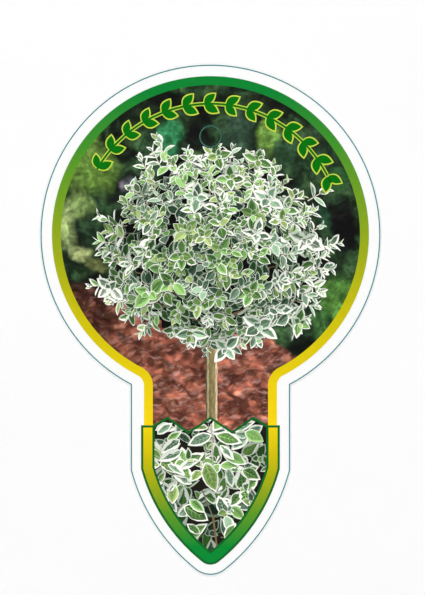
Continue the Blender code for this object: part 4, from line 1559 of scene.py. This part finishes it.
def lamps():
    """Large soft lamps on four sides, as over a copy stand."""
    made = []
    for index, (degrees, power) in enumerate(zip(LAMP_ANGLES, LAMP_POWERS)):
        turn = math.radians(degrees)
        light = bpy.data.lights.new(f"lamp_{index + 1}", "AREA")
        light.shape = "DISK"
        light.size = LAMP_SIZE * MM
        light.energy = power
        lamp = link(bpy.data.objects.new(light.name, light))
        lamp.location = Vector((LAMP_AWAY * math.cos(turn), LAMP_AWAY * math.sin(turn), LAMP_HEIGHT)) * MM
        lamp.rotation_euler = lamp.location.to_track_quat("Z", "Y").to_euler()
        made.append(lamp)
    return made


def room():
    """Even white light from all round."""
    world = bpy.data.worlds.new("room")
    world.use_nodes = True
    world.node_tree.nodes["Background"].inputs["Strength"].default_value = ROOM_LIGHT
    world.node_tree.nodes["Background"].inputs["Color"].default_value = (1.0, 1.0, 1.0, 1.0)
    bpy.context.scene.world = world
    bpy.context.scene.view_settings.view_transform = "Standard"


def camera():
    """A camera straight over the label, framed as in the photograph."""
    head, foot = CAD_BOX[1], CAD_BOX[0]
    scale = (head[0] - foot[0]) / MM / LABEL_PIXELS_WIDE
    lens = bpy.data.cameras.new("camera")
    lens.sensor_width = SENSOR_WIDTH
    lens.lens = SENSOR_WIDTH * (CAMERA_HEIGHT - head[2] / MM) / (PHOTO_HEIGHT * scale)
    eye = link(bpy.data.objects.new("camera", lens))
    across = (PHOTO_WIDTH / 2.0 - LABEL_MIDDLE_X) * scale
    up = (LABEL_MIDDLE_Y - PHOTO_HEIGHT / 2.0) * scale
    eye.location = Vector((across, up, CAMERA_HEIGHT)) * MM
    bpy.context.scene.camera = eye


def print_node(material, *nodes):
    """Gives CAD nodes their finish."""
    for node in nodes:
        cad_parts[node].material_slots[0].material = material


def place_piece(piece, slot, *nodes):
    """Fixes a piece to the label and hides the CAD nodes that it stands for. Its slot is not used."""
    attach(piece, "root")
    if nodes:
        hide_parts(*nodes)


INKS = {kind: tone_inks(kind) for kind in TONES if kind != "trunk"}
INKS["trunk"] = [trunk_ink()]

print_node(white_plastic(), "label_sheet")
print_node(plain_ink("cut_line_ink", CUT_LINE_COLOUR), "edge_line_print")
print_node(plain_ink("hole_line_ink", HOLE_LINE_COLOUR), "hole_line_print")
print_node(plain_ink("shield_line_ink", SHIELD_LINE_COLOUR), "shield_line_print")
print_node(plain_ink("shield_picture_ink", SHIELD_DARK_COLOUR), "shield_picture_print")
print_node(band_ink("head_band_ink", HEAD_BAND_STOPS, "head_band_print"), "head_band_print")
print_node(band_ink("shield_band_ink", SHIELD_BAND_STOPS, "shield_band_print"), "shield_band_print")
print_node(ground_ink("ground_ink"), "garden_print", "hole_disc_print", "bark_print")

crown = film_pieces(
    crown_cards() + bough_cards() + [crown_backing(), trunk_card()],
    film_window("garden_print", "bark_print"),
    {"crown_shade": ("gap",), "crown_leaves": LEAF_KINDS, "crown_twigs": TWIG_KINDS, "trunk": ("trunk",)},
    [circle(HOLE_CENTRE, HOLE_CLEARANCE)],
)
close = film_pieces(
    close_cards(),
    film_window("shield_picture_print"),
    {"close_leaves": LEAF_KINDS, "close_twigs": TWIG_KINDS},
    [],
)
crown_nodes = [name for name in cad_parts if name.startswith("crown_shoot_")]
close_nodes = [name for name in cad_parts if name.startswith("close_shoot_")]
place_piece(crown["crown_shade"], "crown_ink", "crown_print")
place_piece(crown["crown_leaves"], "leaf_ink", *crown_nodes)
place_piece(crown["crown_twigs"], "trunk_ink")
place_piece(crown["trunk"], "trunk_ink", "trunk_print")
place_piece(close["close_leaves"], "leaf_ink", *close_nodes)
place_piece(close["close_twigs"], "trunk_ink")

vine_tree = garland_tree()
garland_edge = garland_piece(
    "garland_edge", vine_tree, plain_ink("garland_edge_ink", GARLAND_EDGE_COLOUR),
    radius=GARLAND_RADIUS, vine_width=1.2, leaf_start=0.1, leaf_length=5.2, leaf_width=3.1,
    bottom=SECOND_FILM_TOP - FILM_THICKNESS, top=GARLAND_EDGE_TOP,
)
garland_fill = garland_piece(
    "garland_fill", vine_tree, plain_ink("garland_fill_ink", GARLAND_FILL_COLOUR),
    radius=GARLAND_RADIUS, vine_width=0.6, leaf_start=0.45, leaf_length=4.3, leaf_width=2.3,
    bottom=SECOND_FILM_TOP - FILM_THICKNESS, top=GARLAND_TOP,
)
place_piece(garland_edge, "garland_ink", "garland_print")
place_piece(garland_fill, "garland_ink")

room()
camera()
table()
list(lamps())
